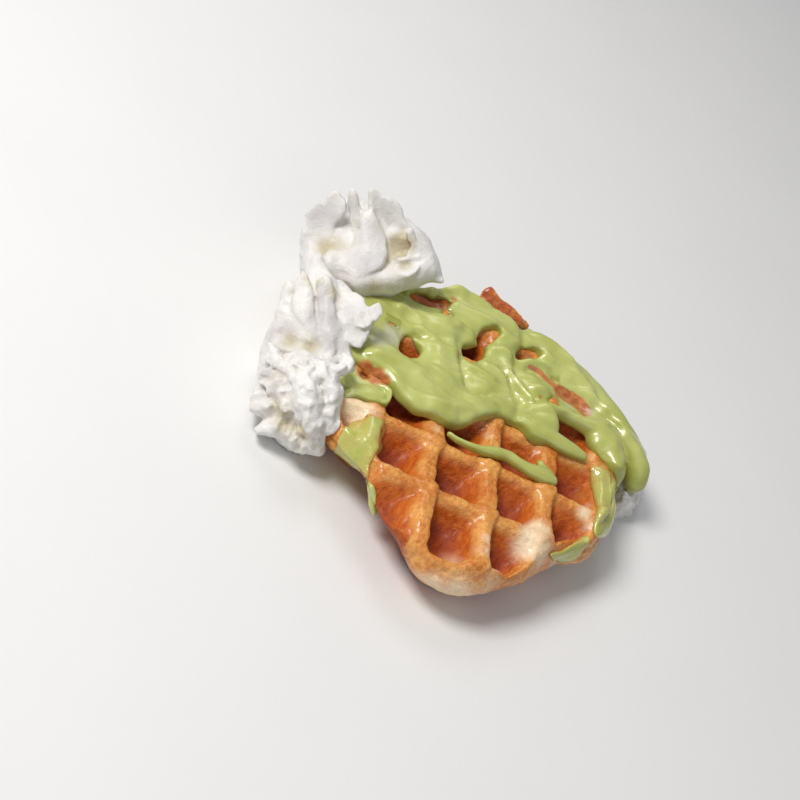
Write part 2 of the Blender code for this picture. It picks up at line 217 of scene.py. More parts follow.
def skin(F):
    """A closed quad mesh round the part of the grid below zero: points in grid steps."""
    F = F.copy()
    F[0], F[-1], F[:, 0], F[:, -1], F[:, :, 0], F[:, :, -1] = (np.maximum(s, 0.05) for s in (
        F[0], F[-1], F[:, 0], F[:, -1], F[:, :, 0], F[:, :, -1]))
    low = F < 0
    n = [s - 1 for s in F.shape]
    count = np.zeros(n, np.int8)
    for a in (0, 1):
        for b in (0, 1):
            for c in (0, 1):
                count += low[a:n[0] + a, b:n[1] + b, c:n[2] + c]
    mixed = (count > 0) & (count < 8)
    index = np.full(n, -1, np.int64)
    cells = np.argwhere(mixed)
    index[mixed] = np.arange(len(cells))
    total, number = np.zeros((len(cells), 3)), np.zeros(len(cells))
    corners = [np.array((a, b, c)) for a in (0, 1) for b in (0, 1) for c in (0, 1)]
    for p in corners:
        for axis in range(3):
            if p[axis] == 0:
                q = p.copy()
                q[axis] = 1
                fp = F[tuple((cells + p).T)]
                fq = F[tuple((cells + q).T)]
                cut = (fp < 0) != (fq < 0)
                t = fp[cut] / (fp[cut] - fq[cut])
                total[cut] += p + t[:, None] * (q - p)
                number[cut] += 1
    points = cells + total / number[:, None]
    quads = []
    for axis in range(3):
        u, v = (axis + 1) % 3, (axis + 2) % 3
        first, second = [slice(None)] * 3, [slice(None)] * 3
        first[axis], second[axis] = slice(0, -1), slice(1, None)
        for d in (u, v):
            first[d] = second[d] = slice(1, -1)
        a, b = low[tuple(first)], low[tuple(second)]
        for rising in (True, False):
            where = np.argwhere((a & ~b) if rising else (~a & b))
            if not len(where):
                continue
            where[:, u] += 1
            where[:, v] += 1
            du, dv = np.zeros(3, int), np.zeros(3, int)
            du[u], dv[v] = 1, 1
            ring = [where - du - dv, where - dv, where, where - du]
            if not rising:
                ring.reverse()
            quads.append(np.stack([index[tuple(r.T)] for r in ring], 1))
    return points, np.concatenate(quads)


def relax(points, quads, rounds, share=0.5):
    """Evens out the points' spacing."""
    edges = np.concatenate([quads[:, [k, (k + 1) % 4]] for k in range(4)])
    a = np.concatenate([edges[:, 0], edges[:, 1]])
    b = np.concatenate([edges[:, 1], edges[:, 0]])
    number = np.bincount(a, minlength=len(points)).astype(float)
    for _ in range(rounds):
        mean = np.stack([np.bincount(a, points[b, k], len(points)) for k in range(3)], 1)
        points = points + share * (mean / number[:, None] - points)
    return points


def settle(F, points, rounds=2):
    """Moves points onto the field's zero level."""
    for _ in range(rounds):
        g = slope(F, points)
        f = trilinear(F, points)
        step = -f / np.maximum((g * g).sum(1), 1e-4)
        move = g * step[:, None]
        size = np.linalg.norm(move, axis=1)
        points = points + move * np.minimum(1, 0.6 / np.maximum(size, 1e-9))[:, None]
    return points


def biggest(points, quads, least=60):
    """Leaves out loose specks: groups of fewer than least points."""
    label = np.arange(len(points))
    while True:
        low = label[quads].min(1)
        new = label.copy()
        for k in range(4):
            np.minimum.at(new, quads[:, k], low)
        new = new[new]
        if (new == label).all():
            break
        label = new
    sizes = np.bincount(label, minlength=len(points))
    keep = sizes[label] >= least
    number = np.cumsum(keep) - 1
    return points[keep], number[quads[keep[quads[:, 0]]]]


def hull_of(F, rounds=2):
    """Points, quads and outward directions of the skin of a field."""
    points, quads = biggest(*skin(F))
    points = settle(F, relax(points, quads, rounds), 2)
    g = slope(F, points)
    return points, quads, g / np.maximum(np.linalg.norm(g, axis=1), 1e-9)[:, None]


def facing(points, quads):
    """Outward directions at the points of a mesh."""
    p = points[quads]
    face = np.cross(p[:, 2] - p[:, 0], p[:, 3] - p[:, 1])
    total = np.zeros((len(points), 3))
    for k in range(4):
        for axis in range(3):
            total[:, axis] += np.bincount(quads[:, k], face[:, axis], len(points))
    return total / np.maximum(np.linalg.norm(total, axis=1), 1e-12)[:, None]


def hollows(points, quads, rounds=6):
    """How hollow, below zero, or proud, above zero, each point lies, in mm."""
    flat = relax(points, quads, rounds, 0.8)
    return ((points - flat) * facing(points, quads)).sum(1)


def build_piece(name, points, quads, mat, marks=None):
    """A mesh object from points in mm, with its marks as point attributes."""
    mesh = bpy.data.meshes.new(name)
    mesh.vertices.add(len(points))
    mesh.vertices.foreach_set("co", (points * MM).astype(np.float32).ravel())
    mesh.loops.add(quads.size)
    mesh.loops.foreach_set("vertex_index", quads.astype(np.int32).ravel())
    mesh.polygons.add(len(quads))
    mesh.polygons.foreach_set("loop_start", (np.arange(len(quads)) * 4).astype(np.int32))
    mesh.polygons.foreach_set("use_smooth", np.ones(len(quads), bool))
    mesh.update(calc_edges=True)
    mesh.validate()
    for key, values in (marks or {}).items():
        mark = mesh.attributes.new(key, "FLOAT", "POINT")
        mark.data.foreach_set("value", np.asarray(values, np.float32))
    mesh.materials.append(mat)
    obj = bpy.data.objects.new(name, mesh)
    bpy.context.scene.collection.objects.link(obj)
    print(name, len(points), "points", 2 * len(quads), "triangles")
    return obj


class Block:
    """A field on a box grid. The first two axes are a plane, the third stands on it."""

    def __init__(self, low, high, step):
        self.step = step
        self.axes = [np.arange(a, b + step, step) for a, b in zip(low, high)]
        self.F = np.full([len(a) for a in self.axes], 40.0, np.float32)
        self.low = np.array([a[0] for a in self.axes])

    def plane(self):
        return np.meshgrid(self.axes[0], self.axes[1], indexing="ij")

    def part(self, low, high):
        return tuple(slice(max(0, int((a - o) / self.step) - 1), max(0, int((b - o) / self.step) + 2))
                     for a, b, o in zip(low, high, self.low))

    def join(self, f, where=(slice(None),) * 3, k=1.0):
        self.F[where] = smin(self.F[where], f, k)

    def cut(self, f, where=(slice(None),) * 3, k=1.0):
        self.F[where] = smax(self.F[where], -f, k)

    def run(self, line, k=1.0, parts=5, cut=False, sharp=2.0):
        """A flattened rope through (a, b, height, half width, half height) points."""
        line = threaded(line, parts) if len(line) > 2 else threaded(line, 3)
        wide = np.abs(line[:, 3:4]) + k + 1.5
        low = np.append((line[:, :2] - wide).min(0), (line[:, 2] - line[:, 4]).min() - k - 1.5)
        high = np.append((line[:, :2] + wide).max(0), (line[:, 2] + line[:, 4]).max() + k + 1.5)
        where = self.part(low, high)
        a, b = np.meshgrid(self.axes[0][where[0]], self.axes[1][where[1]], indexing="ij")
        if a.size == 0:
            return
        best = np.full(a.shape, 1e9)
        mid, half, tall = np.zeros(a.shape), np.ones(a.shape), np.ones(a.shape)
        for p, q in zip(line[:-1], line[1:]):
            ea, eb = q[0] - p[0], q[1] - p[1]
            t = np.clip(((a - p[0]) * ea + (b - p[1]) * eb) / max(ea * ea + eb * eb, 1e-9), 0, 1)
            r = np.maximum(p[3] + (q[3] - p[3]) * t, 0.15)
            u = np.hypot(a - p[0] - t * ea, b - p[1] - t * eb) / r
            near = u < best
            best = np.where(near, u, best)
            mid = np.where(near, p[2] + (q[2] - p[2]) * t, mid)
            half = np.where(near, r, half)
            tall = np.where(near, np.maximum(p[4] + (q[4] - p[4]) * t, 0.15), tall)
        v = np.abs(self.axes[2][where[2]][None, None, :] - mid[..., None]) / tall[..., None]
        f = ((best[..., None] ** sharp + v ** sharp) ** (1 / sharp) - 1) * np.minimum(half, tall)[..., None]
        (self.cut if cut else self.join)(f.astype(np.float32), where, k)

    def bead(self, line, k=1.0, parts=4):
        """A round rope through (x, y, z, radius) points, in any direction."""
        line = threaded(line, parts)
        wide = line[:, 3:4] + k + 1.5
        where = self.part((line[:, :3] - wide).min(0), (line[:, :3] + wide).max(0))
        a, b, c = (self.axes[i][where[i]] for i in range(3))
        a, b, c = a[:, None, None], b[None, :, None], c[None, None, :]
        best = np.full((a.size, b.size, c.size), 1e9)
        for p, q in zip(line[:-1], line[1:]):
            e = q[:3] - p[:3]
            t = np.clip(((a - p[0]) * e[0] + (b - p[1]) * e[1] + (c - p[2]) * e[2])
                        / max((e * e).sum(), 1e-9), 0, 1)
            d = np.sqrt((a - p[0] - t * e[0]) ** 2 + (b - p[1] - t * e[1]) ** 2
                        + (c - p[2] - t * e[2]) ** 2) - (p[3] + (q[3] - p[3]) * t)
            best = np.minimum(best, d)
        self.join(best.astype(np.float32), where, k)


# ---- the dough's field -----------------------------------------------------------------
ANGLES = np.arange(0.0, 361.0, 1.0)


def rim_table(levels):
    """The rim's radius for each degree and level."""
    thin = np.clip(wheel(RIM_THIN, ANGLES * 1.0), 0, 1)
    wave = 0.7 * (np.sin(np.radians(9 * ANGLES + 40)) + 0.6 * np.sin(np.radians(17 * ANGLES)))
    out = wheel(RIM_RADII, ANGLES) + wave
    table = np.empty((len(ANGLES), len(levels)))
    for i in range(len(ANGLES)):
        z = [s[1] + thin[i] * s[3] for s in RIM_SECTION]
        inset = [s[0] + thin[i] * s[2] for s in RIM_SECTION]
        table[i] = out[i] - np.interp(levels, z, inset)
    # the side lifts off the table at the left front, and a little at the right front
    lift = np.exp(-(((ANGLES - 232) / 20) ** 4))
    table -= 10.0 * lift[:, None] * np.clip((17.0 - np.asarray(levels)) / 11.0, 0, 1)[None, :] ** 0.85
    lift = np.exp(-(((ANGLES - 290) / 26) ** 4))
    table -= 3.0 * lift[:, None] * np.clip((15.5 - np.asarray(levels)) / 9.5, 0, 1)[None, :]
    return out, table


def falls(x, y, depth, half, near_x, far_x, near_y, far_y, seed):
    """How far the pressed face falls from its ridge tops: the iron's grid, uneven.

    near and far are how long the slopes are on either side of a ridge.
    """
    wx = x + 0.8 * noise(x, y, 0, 26, seed) + 0.45 * noise(x, y, 0, 8, seed + 1)
    wy = y + 0.8 * noise(x, y, 0, 26, seed + 2) + 0.35 * noise(x, y, 0, 8, seed + 3)
    # the front pocket is longer than the others
    wy = wy + 4.2 * np.exp(-((x - 9.5) / 7.5) ** 4) * ease(-y, 30.0, 40.0)
    width = half + 0.3 * noise(x, y, 0, 11, seed + 4)
    bowl = np.ones(x.shape)
    for w, rise, drop, more in ((wx, near_x, far_x, 2.0), (wy, near_y, far_y, 0.6)):
        d = w % PITCH
        for away, reach, flat in ((d, rise, width + more), (PITCH - d, drop, width)):
            t = np.clip((away - flat) / reach, 0, 1)
            bowl = smin(bowl, (0.42 * t + 0.58 * t * t * (3 - 2 * t)) ** 0.93, 0.45)
    return depth * 1.1 * bowl


# where the pockets run out nearer to the rim: (x, y, radius, mm)
OPEN_RIM = ((30, -38, 10, 3.0), (60, -8, 12, 2.6), (11, -41, 9, 5.2), (46, -30, 9, 1.0))


def open_side(x, y):
    """1 where the front left pocket runs out to the rim without an outer wall."""
    return ease(-x, -1.0, 4.0) * ease(-y, 20.5, 25.0) * ease(y, -52, -40)


def dough_maps(x, y):
    """Height maps of both faces and the plan distance inside the rim."""
    r = np.hypot(x - MIDDLE[0], y - MIDDLE[1])
    deg = np.degrees(np.arctan2(y - MIDDLE[1], x - MIDDLE[0])) % 360
    out, _ = rim_table(np.array([0.0]))
    edge = np.interp(deg, ANGLES, out) - r + 0.9 * noise(x, y, 0, 13, 21)
    fall = falls(x, y, 1.12 * POCKET_DEPTH * (1 + 0.05 * noise(x, y, 0, 22, 9)), 0.8, 3.8, 10.0, 7.0, 9.0, 2)
    near = edge
    for ox, oy, size, shift in OPEN_RIM:
        near = near + shift * np.exp(-((x - ox) ** 2 + (y - oy) ** 2) / size ** 2 * 1.2)
    near = near + 7.0 * open_side(x, y)
    wall = POCKET_DEPTH * ease(near, 3.0, 8.6)
    fall = smin(fall, wall + 0.3, 2.0)
    swell = 0.45 * noise(x, y, 0, 17, 31) + 0.35 * noise(x, y, 0, 6.5, 33)
    up = THICKNESS - np.minimum(fall, 12.0) + swell * ease(fall, 0, 8) + 0.35 * noise(x, y, 0, 12, 35)
    base = falls(x, y, BASE_DEPTH, 1.0, 5.5, 5.5, 5.5, 5.5, 2)
    base = smin(base, BASE_DEPTH * ease(edge, 8.5, 13.5) + 0.1, 1.5)
    return up, np.maximum(base, 0.0) + 0.05, fall, edge, deg, r


def dough_field(block, grow=0.0, sag=None, k=1.4):
    """The dough's field on a block; sag, if given, fills its pockets up to that depth."""
    x, y = block.plane()
    levels = block.axes[2]
    up, base, fall, edge, deg, r = dough_maps(x, y)
    if sag is not None:
        up = THICKNESS - sag * blurred(ease(fall, 1.0, 9.0), 14) + 0.35 * noise(x, y, 0, 12, 35)
    _, table = rim_table(levels)
    F = np.empty(block.F.shape, np.float32)
    gx, gy = np.gradient(up, block.step)
    gain = 1 / np.sqrt(1 + np.minimum(gx * gx + gy * gy, 9))
    hx, hy = np.gradient(base, block.step)
    gain_base = 1 / np.sqrt(1 + np.minimum(hx * hx + hy * hy, 9))
    bulge = noise(x[..., None], y[..., None], levels[None, None, :], 12, 41)
    for j, z in enumerate(levels):
        rim = np.interp(deg, ANGLES, table[:, j])
        side = (r - rim) * (0.80 if z < 6 or z > 19 else 0.97) - 0.6 * bulge[..., j]
        top = (z - up) * gain
        F[..., j] = smax(smax(side, top, k), (base - z) * gain_base, 0.8) - grow
    return F


# ---- nodes --------------------------------------------------------------------------------
class Paint:
    """A material and its nodes."""

    def __init__(self, name):
        self.mat = bpy.data.materials.new(name)
        self.mat.use_nodes = True
        self.tree = self.mat.node_tree
        self.tree.nodes.clear()
        self.out = self.new("ShaderNodeOutputMaterial")
        self.bsdf = self.new("ShaderNodeBsdfPrincipled")
        self.link(self.bsdf.outputs[0], self.out.inputs["Surface"])
        self.place = self.new("ShaderNodeTexCoord").outputs["Object"]

    def new(self, kind, **settings):
        node = self.tree.nodes.new(kind)
        for key, value in settings.items():
            setattr(node, key, value)
        return node

    def link(self, a, b):
        self.tree.links.new(a, b)

    def feed(self, socket, value):
        if isinstance(value, bpy.types.NodeSocket):
            self.link(value, socket)
        elif isinstance(value, tuple) and len(value) == 3:
            socket.default_value = (*value, 1.0) if socket.type == "RGBA" else value
        else:
            socket.default_value = value

    def mark(self, name):
        return self.new("ShaderNodeAttribute", attribute_name=name).outputs["Fac"]

    def sum(self, how, a, b, clamp=False):
        node = self.new("ShaderNodeMath", operation=how, use_clamp=clamp)
        self.feed(node.inputs[0], a)
        self.feed(node.inputs[1], b)
        return node.outputs[0]

    def spread(self, value, lo, hi, out_lo=0.0, out_hi=1.0, how="SMOOTHSTEP"):
        node = self.new("ShaderNodeMapRange", interpolation_type=how)
        for key, v in (("Value", value), ("From Min", lo), ("From Max", hi),
                       ("To Min", out_lo), ("To Max", out_hi)):
            self.feed(node.inputs[key], v)
        return node.outputs[0]

    def mix(self, share, a, b, how="MIX"):
        node = self.new("ShaderNodeMix", data_type="RGBA", blend_type=how, clamp_factor=True)
        self.feed(node.inputs["Factor"], share)
        self.feed(node.inputs[6], a)
        self.feed(node.inputs[7], b)
        return node.outputs[2]

    def grain(self, size_mm, detail=3.0, rough=0.55, stretch=None, distortion=0.0, turn=0.0):
        """Noise, drawn out by stretch along axes that are turned about Z by turn degrees."""
        node = self.new("ShaderNodeTexNoise")
        where = self.place
        if stretch is not None:
            mapping = self.new("ShaderNodeMapping", vector_type="TEXTURE")
            mapping.inputs["Scale"].default_value = stretch
            mapping.inputs["Rotation"].default_value = (0.0, 0.0, math.radians(turn))
            self.link(where, mapping.inputs["Vector"])
            where = mapping.outputs[0]
        self.link(where, node.inputs["Vector"])
        node.inputs["Scale"].default_value = 1.0 / (size_mm * MM)
        node.inputs["Detail"].default_value = detail
        node.inputs["Roughness"].default_value = rough
        node.inputs["Distortion"].default_value = distortion
        return node.outputs["Fac"]

    def cells(self, size_mm, feature="F1"):
        node = self.new("ShaderNodeTexVoronoi", feature=feature)
        self.link(self.place, node.inputs["Vector"])
        node.inputs["Scale"].default_value = 1.0 / (size_mm * MM)
        return node.outputs["Distance"]

    def bump(self, *heights):
        """Bump from (height socket, depth in mm) pairs."""
        normal = None
        for height, depth in heights:
            node = self.new("ShaderNodeBump")
            node.inputs["Strength"].default_value = 1.0
            node.inputs["Distance"].default_value = depth * MM
            self.link(height, node.inputs["Height"])
            if normal is not None:
                self.link(normal, node.inputs["Normal"])
            normal = node.outputs["Normal"]
        self.link(normal, self.bsdf.inputs["Normal"])

    def set(self, **values):
        for key, value in values.items():
            self.feed(self.bsdf.inputs[key.replace("_", " ")], value)
        return self


def lin(r, g, b):
    """A display colour, 0 to 255, as the linear colour that shaders take."""
    return tuple(((c / 255) / 12.92) if c <= 10.3 else (((c / 255) + 0.055) / 1.055) ** 2.4
                 for c in (r, g, b))


def crust_paint():
    p = Paint("baked_crust_looks")
    depth, pale, brown, stain, hollow = (p.mark(m) for m in ("depth", "pale", "brown", "stain", "hollow"))
    broad = p.grain(9, 3)
    fine = p.grain(1.5, 4, 0.6)
    tiny = p.grain(0.5, 3, 0.6)
    flakes = p.grain(1.9, 4, 0.6, stretch=(4.0, 0.8, 0.8), turn=60, distortion=0.3)
    # from the ridge tops down the walls to the floors
    ridge = p.mix(p.spread(p.sum("ADD", p.sum("MULTIPLY", fine, 0.5), p.sum("MULTIPLY", broad, 0.5)), 0.34, 0.68),
                  lin(204, 112, 32), lin(242, 178, 92))
    wall = p.mix(p.spread(flakes, 0.3, 0.7), lin(180, 78, 12), lin(208, 110, 22))
    # the floors' deep red-brown is partly their own browning and partly painted shade in the pockets
    floor = p.mix(p.spread(broad, 0.3, 0.7), lin(134, 46, 11), lin(168, 68, 14))
    floor = p.mix(p.spread(flakes, 0.4, 0.75, 0.0, 0.5), floor, lin(190, 88, 22))
    wobble = p.sum("ADD", depth, p.spread(fine, 0.2, 0.8, -0.07, 0.07, "LINEAR"))
    colour = p.mix(p.spread(wobble, 0.06, 0.32), ridge, wall)
    colour = p.mix(p.spread(wobble, 0.36, 0.85), colour, floor)
    # browned patches, and specks where bubbles burst
    toast = p.mix(p.spread(fine, 0.3, 0.7), lin(160, 70, 22), lin(198, 102, 36))
    brown_by = p.sum("ADD", brown, p.spread(flakes, 0.2, 0.8, -0.14, 0.14, "LINEAR"))
    colour = p.mix(p.spread(brown_by, 0.3, 0.85), colour, toast)
    specks = p.spread(tiny, 0.62, 0.76, 0.0, 0.2)
    colour = p.mix(p.sum("MULTIPLY", specks, p.spread(depth, 0.0, 0.6, 1.0, 0.3)), colour,
                   lin(176, 84, 26))
    # pale, barely browned dough at the rim
    bare = p.mix(p.spread(broad, 0.35, 0.7), lin(248, 214, 170), lin(253, 233, 202))
    pale_by = p.sum("ADD", pale, p.spread(fine, 0.2, 0.8, -0.06, 0.06, "LINEAR"))
    colour = p.mix(p.spread(pale_by, 0.12, 0.8), colour, bare)
    # painted shade: the colour turns darker brown in the hollows of the surface
    colour = p.mix(p.spread(hollow, -0.5, 0.0, 0.4, 0.0), colour, lin(128, 52, 18))
    # a film of sauce soaked in
    colour = p.mix(p.spread(stain, 0.1, 1.0, 0.0, 0.75), colour, lin(184, 170, 96))
    p.set(Base_Color=colour, Roughness=p.spread(fine, 0.25, 0.75, 0.4, 0.62),
          Subsurface_Weight=0.12, Coat_Weight=p.spread(depth, 0.03, 0.4, 0.6, 0.1), Coat_Roughness=0.22)
    p.bsdf.inputs["Subsurface Radius"].default_value = (1.0, 0.45, 0.18)
    p.bsdf.inputs["Subsurface Scale"].default_value = 1.6 * MM
    p.bsdf.inputs["Specular IOR Level"].default_value = 0.34
    p.bump((flakes, 0.4), (fine, 0.25), (tiny, 0.28), (p.cells(1.6), 0.1))
    return p.mat


def sauce_paint():
    p = Paint("pistachio_sauce_looks")
    thin = p.mark("thin")
    broad = p.grain(14, 2)
    specks = p.grain(0.35, 2, 0.5)
    green = p.mix(p.spread(broad, 0.3, 0.7), lin(180, 186, 98), lin(194, 200, 120))
    green = p.mix(p.spread(specks, 0.64, 0.72, 0.0, 0.35), green, lin(150, 150, 62))
    # deeper olive where the film lies thin over the crust, and painted shade in creases and on steep sides
    deep = lin(150, 152, 56)
    colour = p.mix(p.spread(thin, 0.0, 1.0, 0.0, 0.8), green, deep)
    fleck = p.grain(2.2, 3)
    bare = p.sum("ADD", p.mark("bare"), p.spread(fleck, 0.25, 0.75, -0.14, 0.14, "LINEAR"))
    colour = p.mix(p.spread(bare, 0.34, 0.62, 0.0, 0.94), colour,
                   p.mix(p.spread(fleck, 0.35, 0.65), lin(168, 84, 36), lin(206, 126, 68)))
    milky = p.sum("ADD", p.mark("milky"), p.spread(fleck, 0.25, 0.75, -0.15, 0.15, "LINEAR"))
    colour = p.mix(p.spread(milky, 0.1, 1.0, 0.0, 0.75), colour, lin(206, 204, 184))
    p.set(Base_Color=colour, Roughness=p.spread(p.grain(3, 3), 0.3, 0.7, 0.3, 0.42),
          Subsurface_Weight=0.3, Coat_Weight=0.55, Coat_Roughness=0.14)
    p.bsdf.inputs["Subsurface Radius"].default_value = (0.9, 1.0, 0.4)
    p.bsdf.inputs["Subsurface Scale"].default_value = 3.0 * MM
    p.bump((p.grain(2.4, 1, 0.4, stretch=(4.5, 0.9, 0.9), turn=-10), 0.2), (p.grain(5.0, 1), 0.35))
    return p.mat


def glaze_paint():
    p = Paint("thin_glaze_looks")
    thin = p.mark("thin")
    broad = p.grain(6, 3)
    fine = p.grain(1.6, 3)
    thick = p.mix(p.spread(broad, 0.3, 0.7), lin(180, 182, 90), lin(198, 202, 120))
    soaked = p.mix(p.spread(broad, 0.35, 0.65), lin(204, 142, 68), lin(188, 170, 88))
    by = p.sum("ADD", thin, p.spread(broad, 0.25, 0.75, -0.55, 0.55, "LINEAR"))
    colour = p.mix(p.spread(by, 0.25, 1.15), thick, soaked)
    p.set(Base_Color=colour, Roughness=p.spread(fine, 0.3, 0.7, 0.14, 0.28), Subsurface_Weight=0.25,
          Coat_Weight=0.5, Coat_Roughness=0.08)
    p.bsdf.inputs["Subsurface Radius"].default_value = (0.9, 1.0, 0.4)
    p.bsdf.inputs["Subsurface Scale"].default_value = 1.5 * MM
    p.bump((fine, 0.14), (p.grain(3.5, 3), 0.3))
    return p.mat


def cream_paint():
    p = Paint("whipped_cream_looks")
    hollow, warm_shade, cool_shade = (p.mark(m) for m in ("hollow", "warm_shade", "cool_shade"))
    broad = p.grain(11, 2)
    fine = p.grain(0.9, 4, 0.6)
    patch = p.grain(4, 3)
    white = p.mix(p.spread(broad, 0.3, 0.7), lin(226, 223, 218), lin(234, 232, 230))
    # painted shade: grey-lavender on faces turned from the light, round listed places
    cool_shade_by = p.sum("ADD", cool_shade, p.spread(patch, 0.25, 0.75, -0.12, 0.12, "LINEAR"))
    colour = p.mix(p.spread(cool_shade_by, 0.1, 1.0, 0.0, 0.8), white, lin(196, 191, 192))
    # painted shade: warm beige in hollows and on the shaded foot, round listed places
    warm_shade_by = p.sum("ADD", warm_shade, p.spread(patch, 0.25, 0.75, -0.15, 0.15, "LINEAR"))
    colour = p.mix(p.spread(warm_shade_by, 0.1, 1.0, 0.0, 0.85), colour, lin(190, 177, 140))
    # painted shade: beige in the hollows of the cream
    colour = p.mix(p.spread(hollow, -0.8, 0.0, 0.75, 0.0), colour, lin(206, 194, 164))
    p.set(Base_Color=colour, Roughness=p.spread(fine, 0.3, 0.7, 0.42, 0.62), Subsurface_Weight=0.2,
          Coat_Weight=0.12, Coat_Roughness=0.3)
    p.bsdf.inputs["Subsurface Radius"].default_value = (1.0, 0.88, 0.68)
    p.bsdf.inputs["Subsurface Scale"].default_value = 2.0 * MM
    p.bump((p.grain(2.4, 4, 0.6), 0.35), (fine, 0.25))
    return p.mat


def floor_paint():
    p = Paint("pale_floor")
    soft = p.grain(60, 3)
    p.set(Base_Color=p.mix(soft, lin(232, 232, 232), lin(237, 237, 236)), Roughness=0.75)
    p.bump((p.grain(1.2, 2), 0.02))
    return p.mat


# ---- dough ---------------------------------------------------------------------------------
STEP_DOUGH = 0.70
PALE = ((450, 588, 10, 9.0, 1.0), (433, 582, 11, 6.0, 0.9), (426, 579, 11, 5, 0.7), (468, 593, 8, 7, 0.9), (584, 501, 20, 2.8, 0.9), (603, 518, 14, 4, 0.9),
        (478, 572, 15, 6.0, 1.1), (482, 556, 19, 3.6, 1.0), (485, 541, 21, 2.6, 0.7), (530, 546, 19, 7.0, 1.1),
        (536, 532, 21, 5.5, 1.0), (522, 560, 15, 5, 0.9), (545, 560, 12, 7, 0.8), (583, 513, 21, 3.2, 0.85),
        (589, 525, 19, 3.8, 0.9), (384, 462, 21, 3, 0.4), (358, 410, 22, 8, 0.8),
        (438, 428, 22.5, 2.8, 0.5), (590, 453, 22.5, 3, 0.6), (577, 505, 20, 2, 0.4),
        (480, 340, 23, 3.0, 0.6), (555, 556, 16, 4, 0.5), (489, 436, 21, 2.8, 0.45))
BROWN = ((505, 578, 10, 7, 0.8), (522, 572, 12, 5, 0.8), (404, 548, 13, 6, 0.75), (419, 561, 12, 4, 0.6), (487, 292, 24.5, 4, 1.2),
         (492, 300, 24, 5, 0.9), (505, 308, 24, 5, 1.0), (517, 320, 24, 4, 0.9), (430, 299, 22, 7, 1.3),
         (448, 303, 22, 5, 1.2), (528, 352, 22, 4, 0.7), (565, 395, 20, 5, 0.6), (560, 385, 22, 2.5, 0.4),
         (412, 346, 20, 4, 0.6))
STAIN = ((600, 478, 20, 5, 0.6), (600, 500, 16, 7, 0.9), (606, 528, 10, 4, 0.6),
         (580, 545, 12, 6, 0.6), (352, 412, 21, 6, 0.35), (374, 466, 18, 4, 0.7),
         (585, 500, 16, 5, 0.5), (368, 376, 22, 7, 0.5))


def flake(block, outline, start, end, thick):
    """A crisp upright flake of crust, its outline in the picture, between two places."""
    where = block.part((min(start[0], end[0]) - 12, min(start[1], end[1]) - 14, 12),
                       (max(start[0], end[0]) + 14, max(start[1], end[1]) + 10, 32))
    x, y, z = np.meshgrid(*(block.axes[i][where[i]] for i in range(3)), indexing="ij")
    px, py = seen(x, y, z)
    rim = inside_by(px, py, threaded(outline, 3, closed=True)) * 0.32 + 0.3 * noise(x, y, z, 3.0, 45)
    depth = sum((v - EYE[i]) * AHEAD[i] for i, v in enumerate((x, y, z)))
    ends = [sum((p[i] - EYE[i]) * AHEAD[i] for i in range(3)) for p in (start, end)]
    t = (px - seen(*start)[0]) / (seen(*end)[0] - seen(*start)[0])
    slab = np.abs(depth - ends[0] - (ends[1] - ends[0]) * t + 0.35 * noise(x, y, z, 5, 46)) - thick
    block.join(smax(slab, rim, 0.7).astype(np.float32), where, 0.9)


def spots(points, listed, along=1.0):
    """Marks round listed places; along below 1 draws them out along the line of sight."""
    total = np.zeros(len(points))
    for px, py, z, size, strength in listed:
        place = at(px, py, z)
        sight = (place - EYE) / np.linalg.norm(place - EYE)
        far = (points - place) @ sight
        d = np.sqrt(np.maximum(((points - place) ** 2).sum(1) + (along * along - 1) * far * far, 0))
        total = np.maximum(total, strength * np.exp(-(d / size) ** 2 * 1.2))
    return total


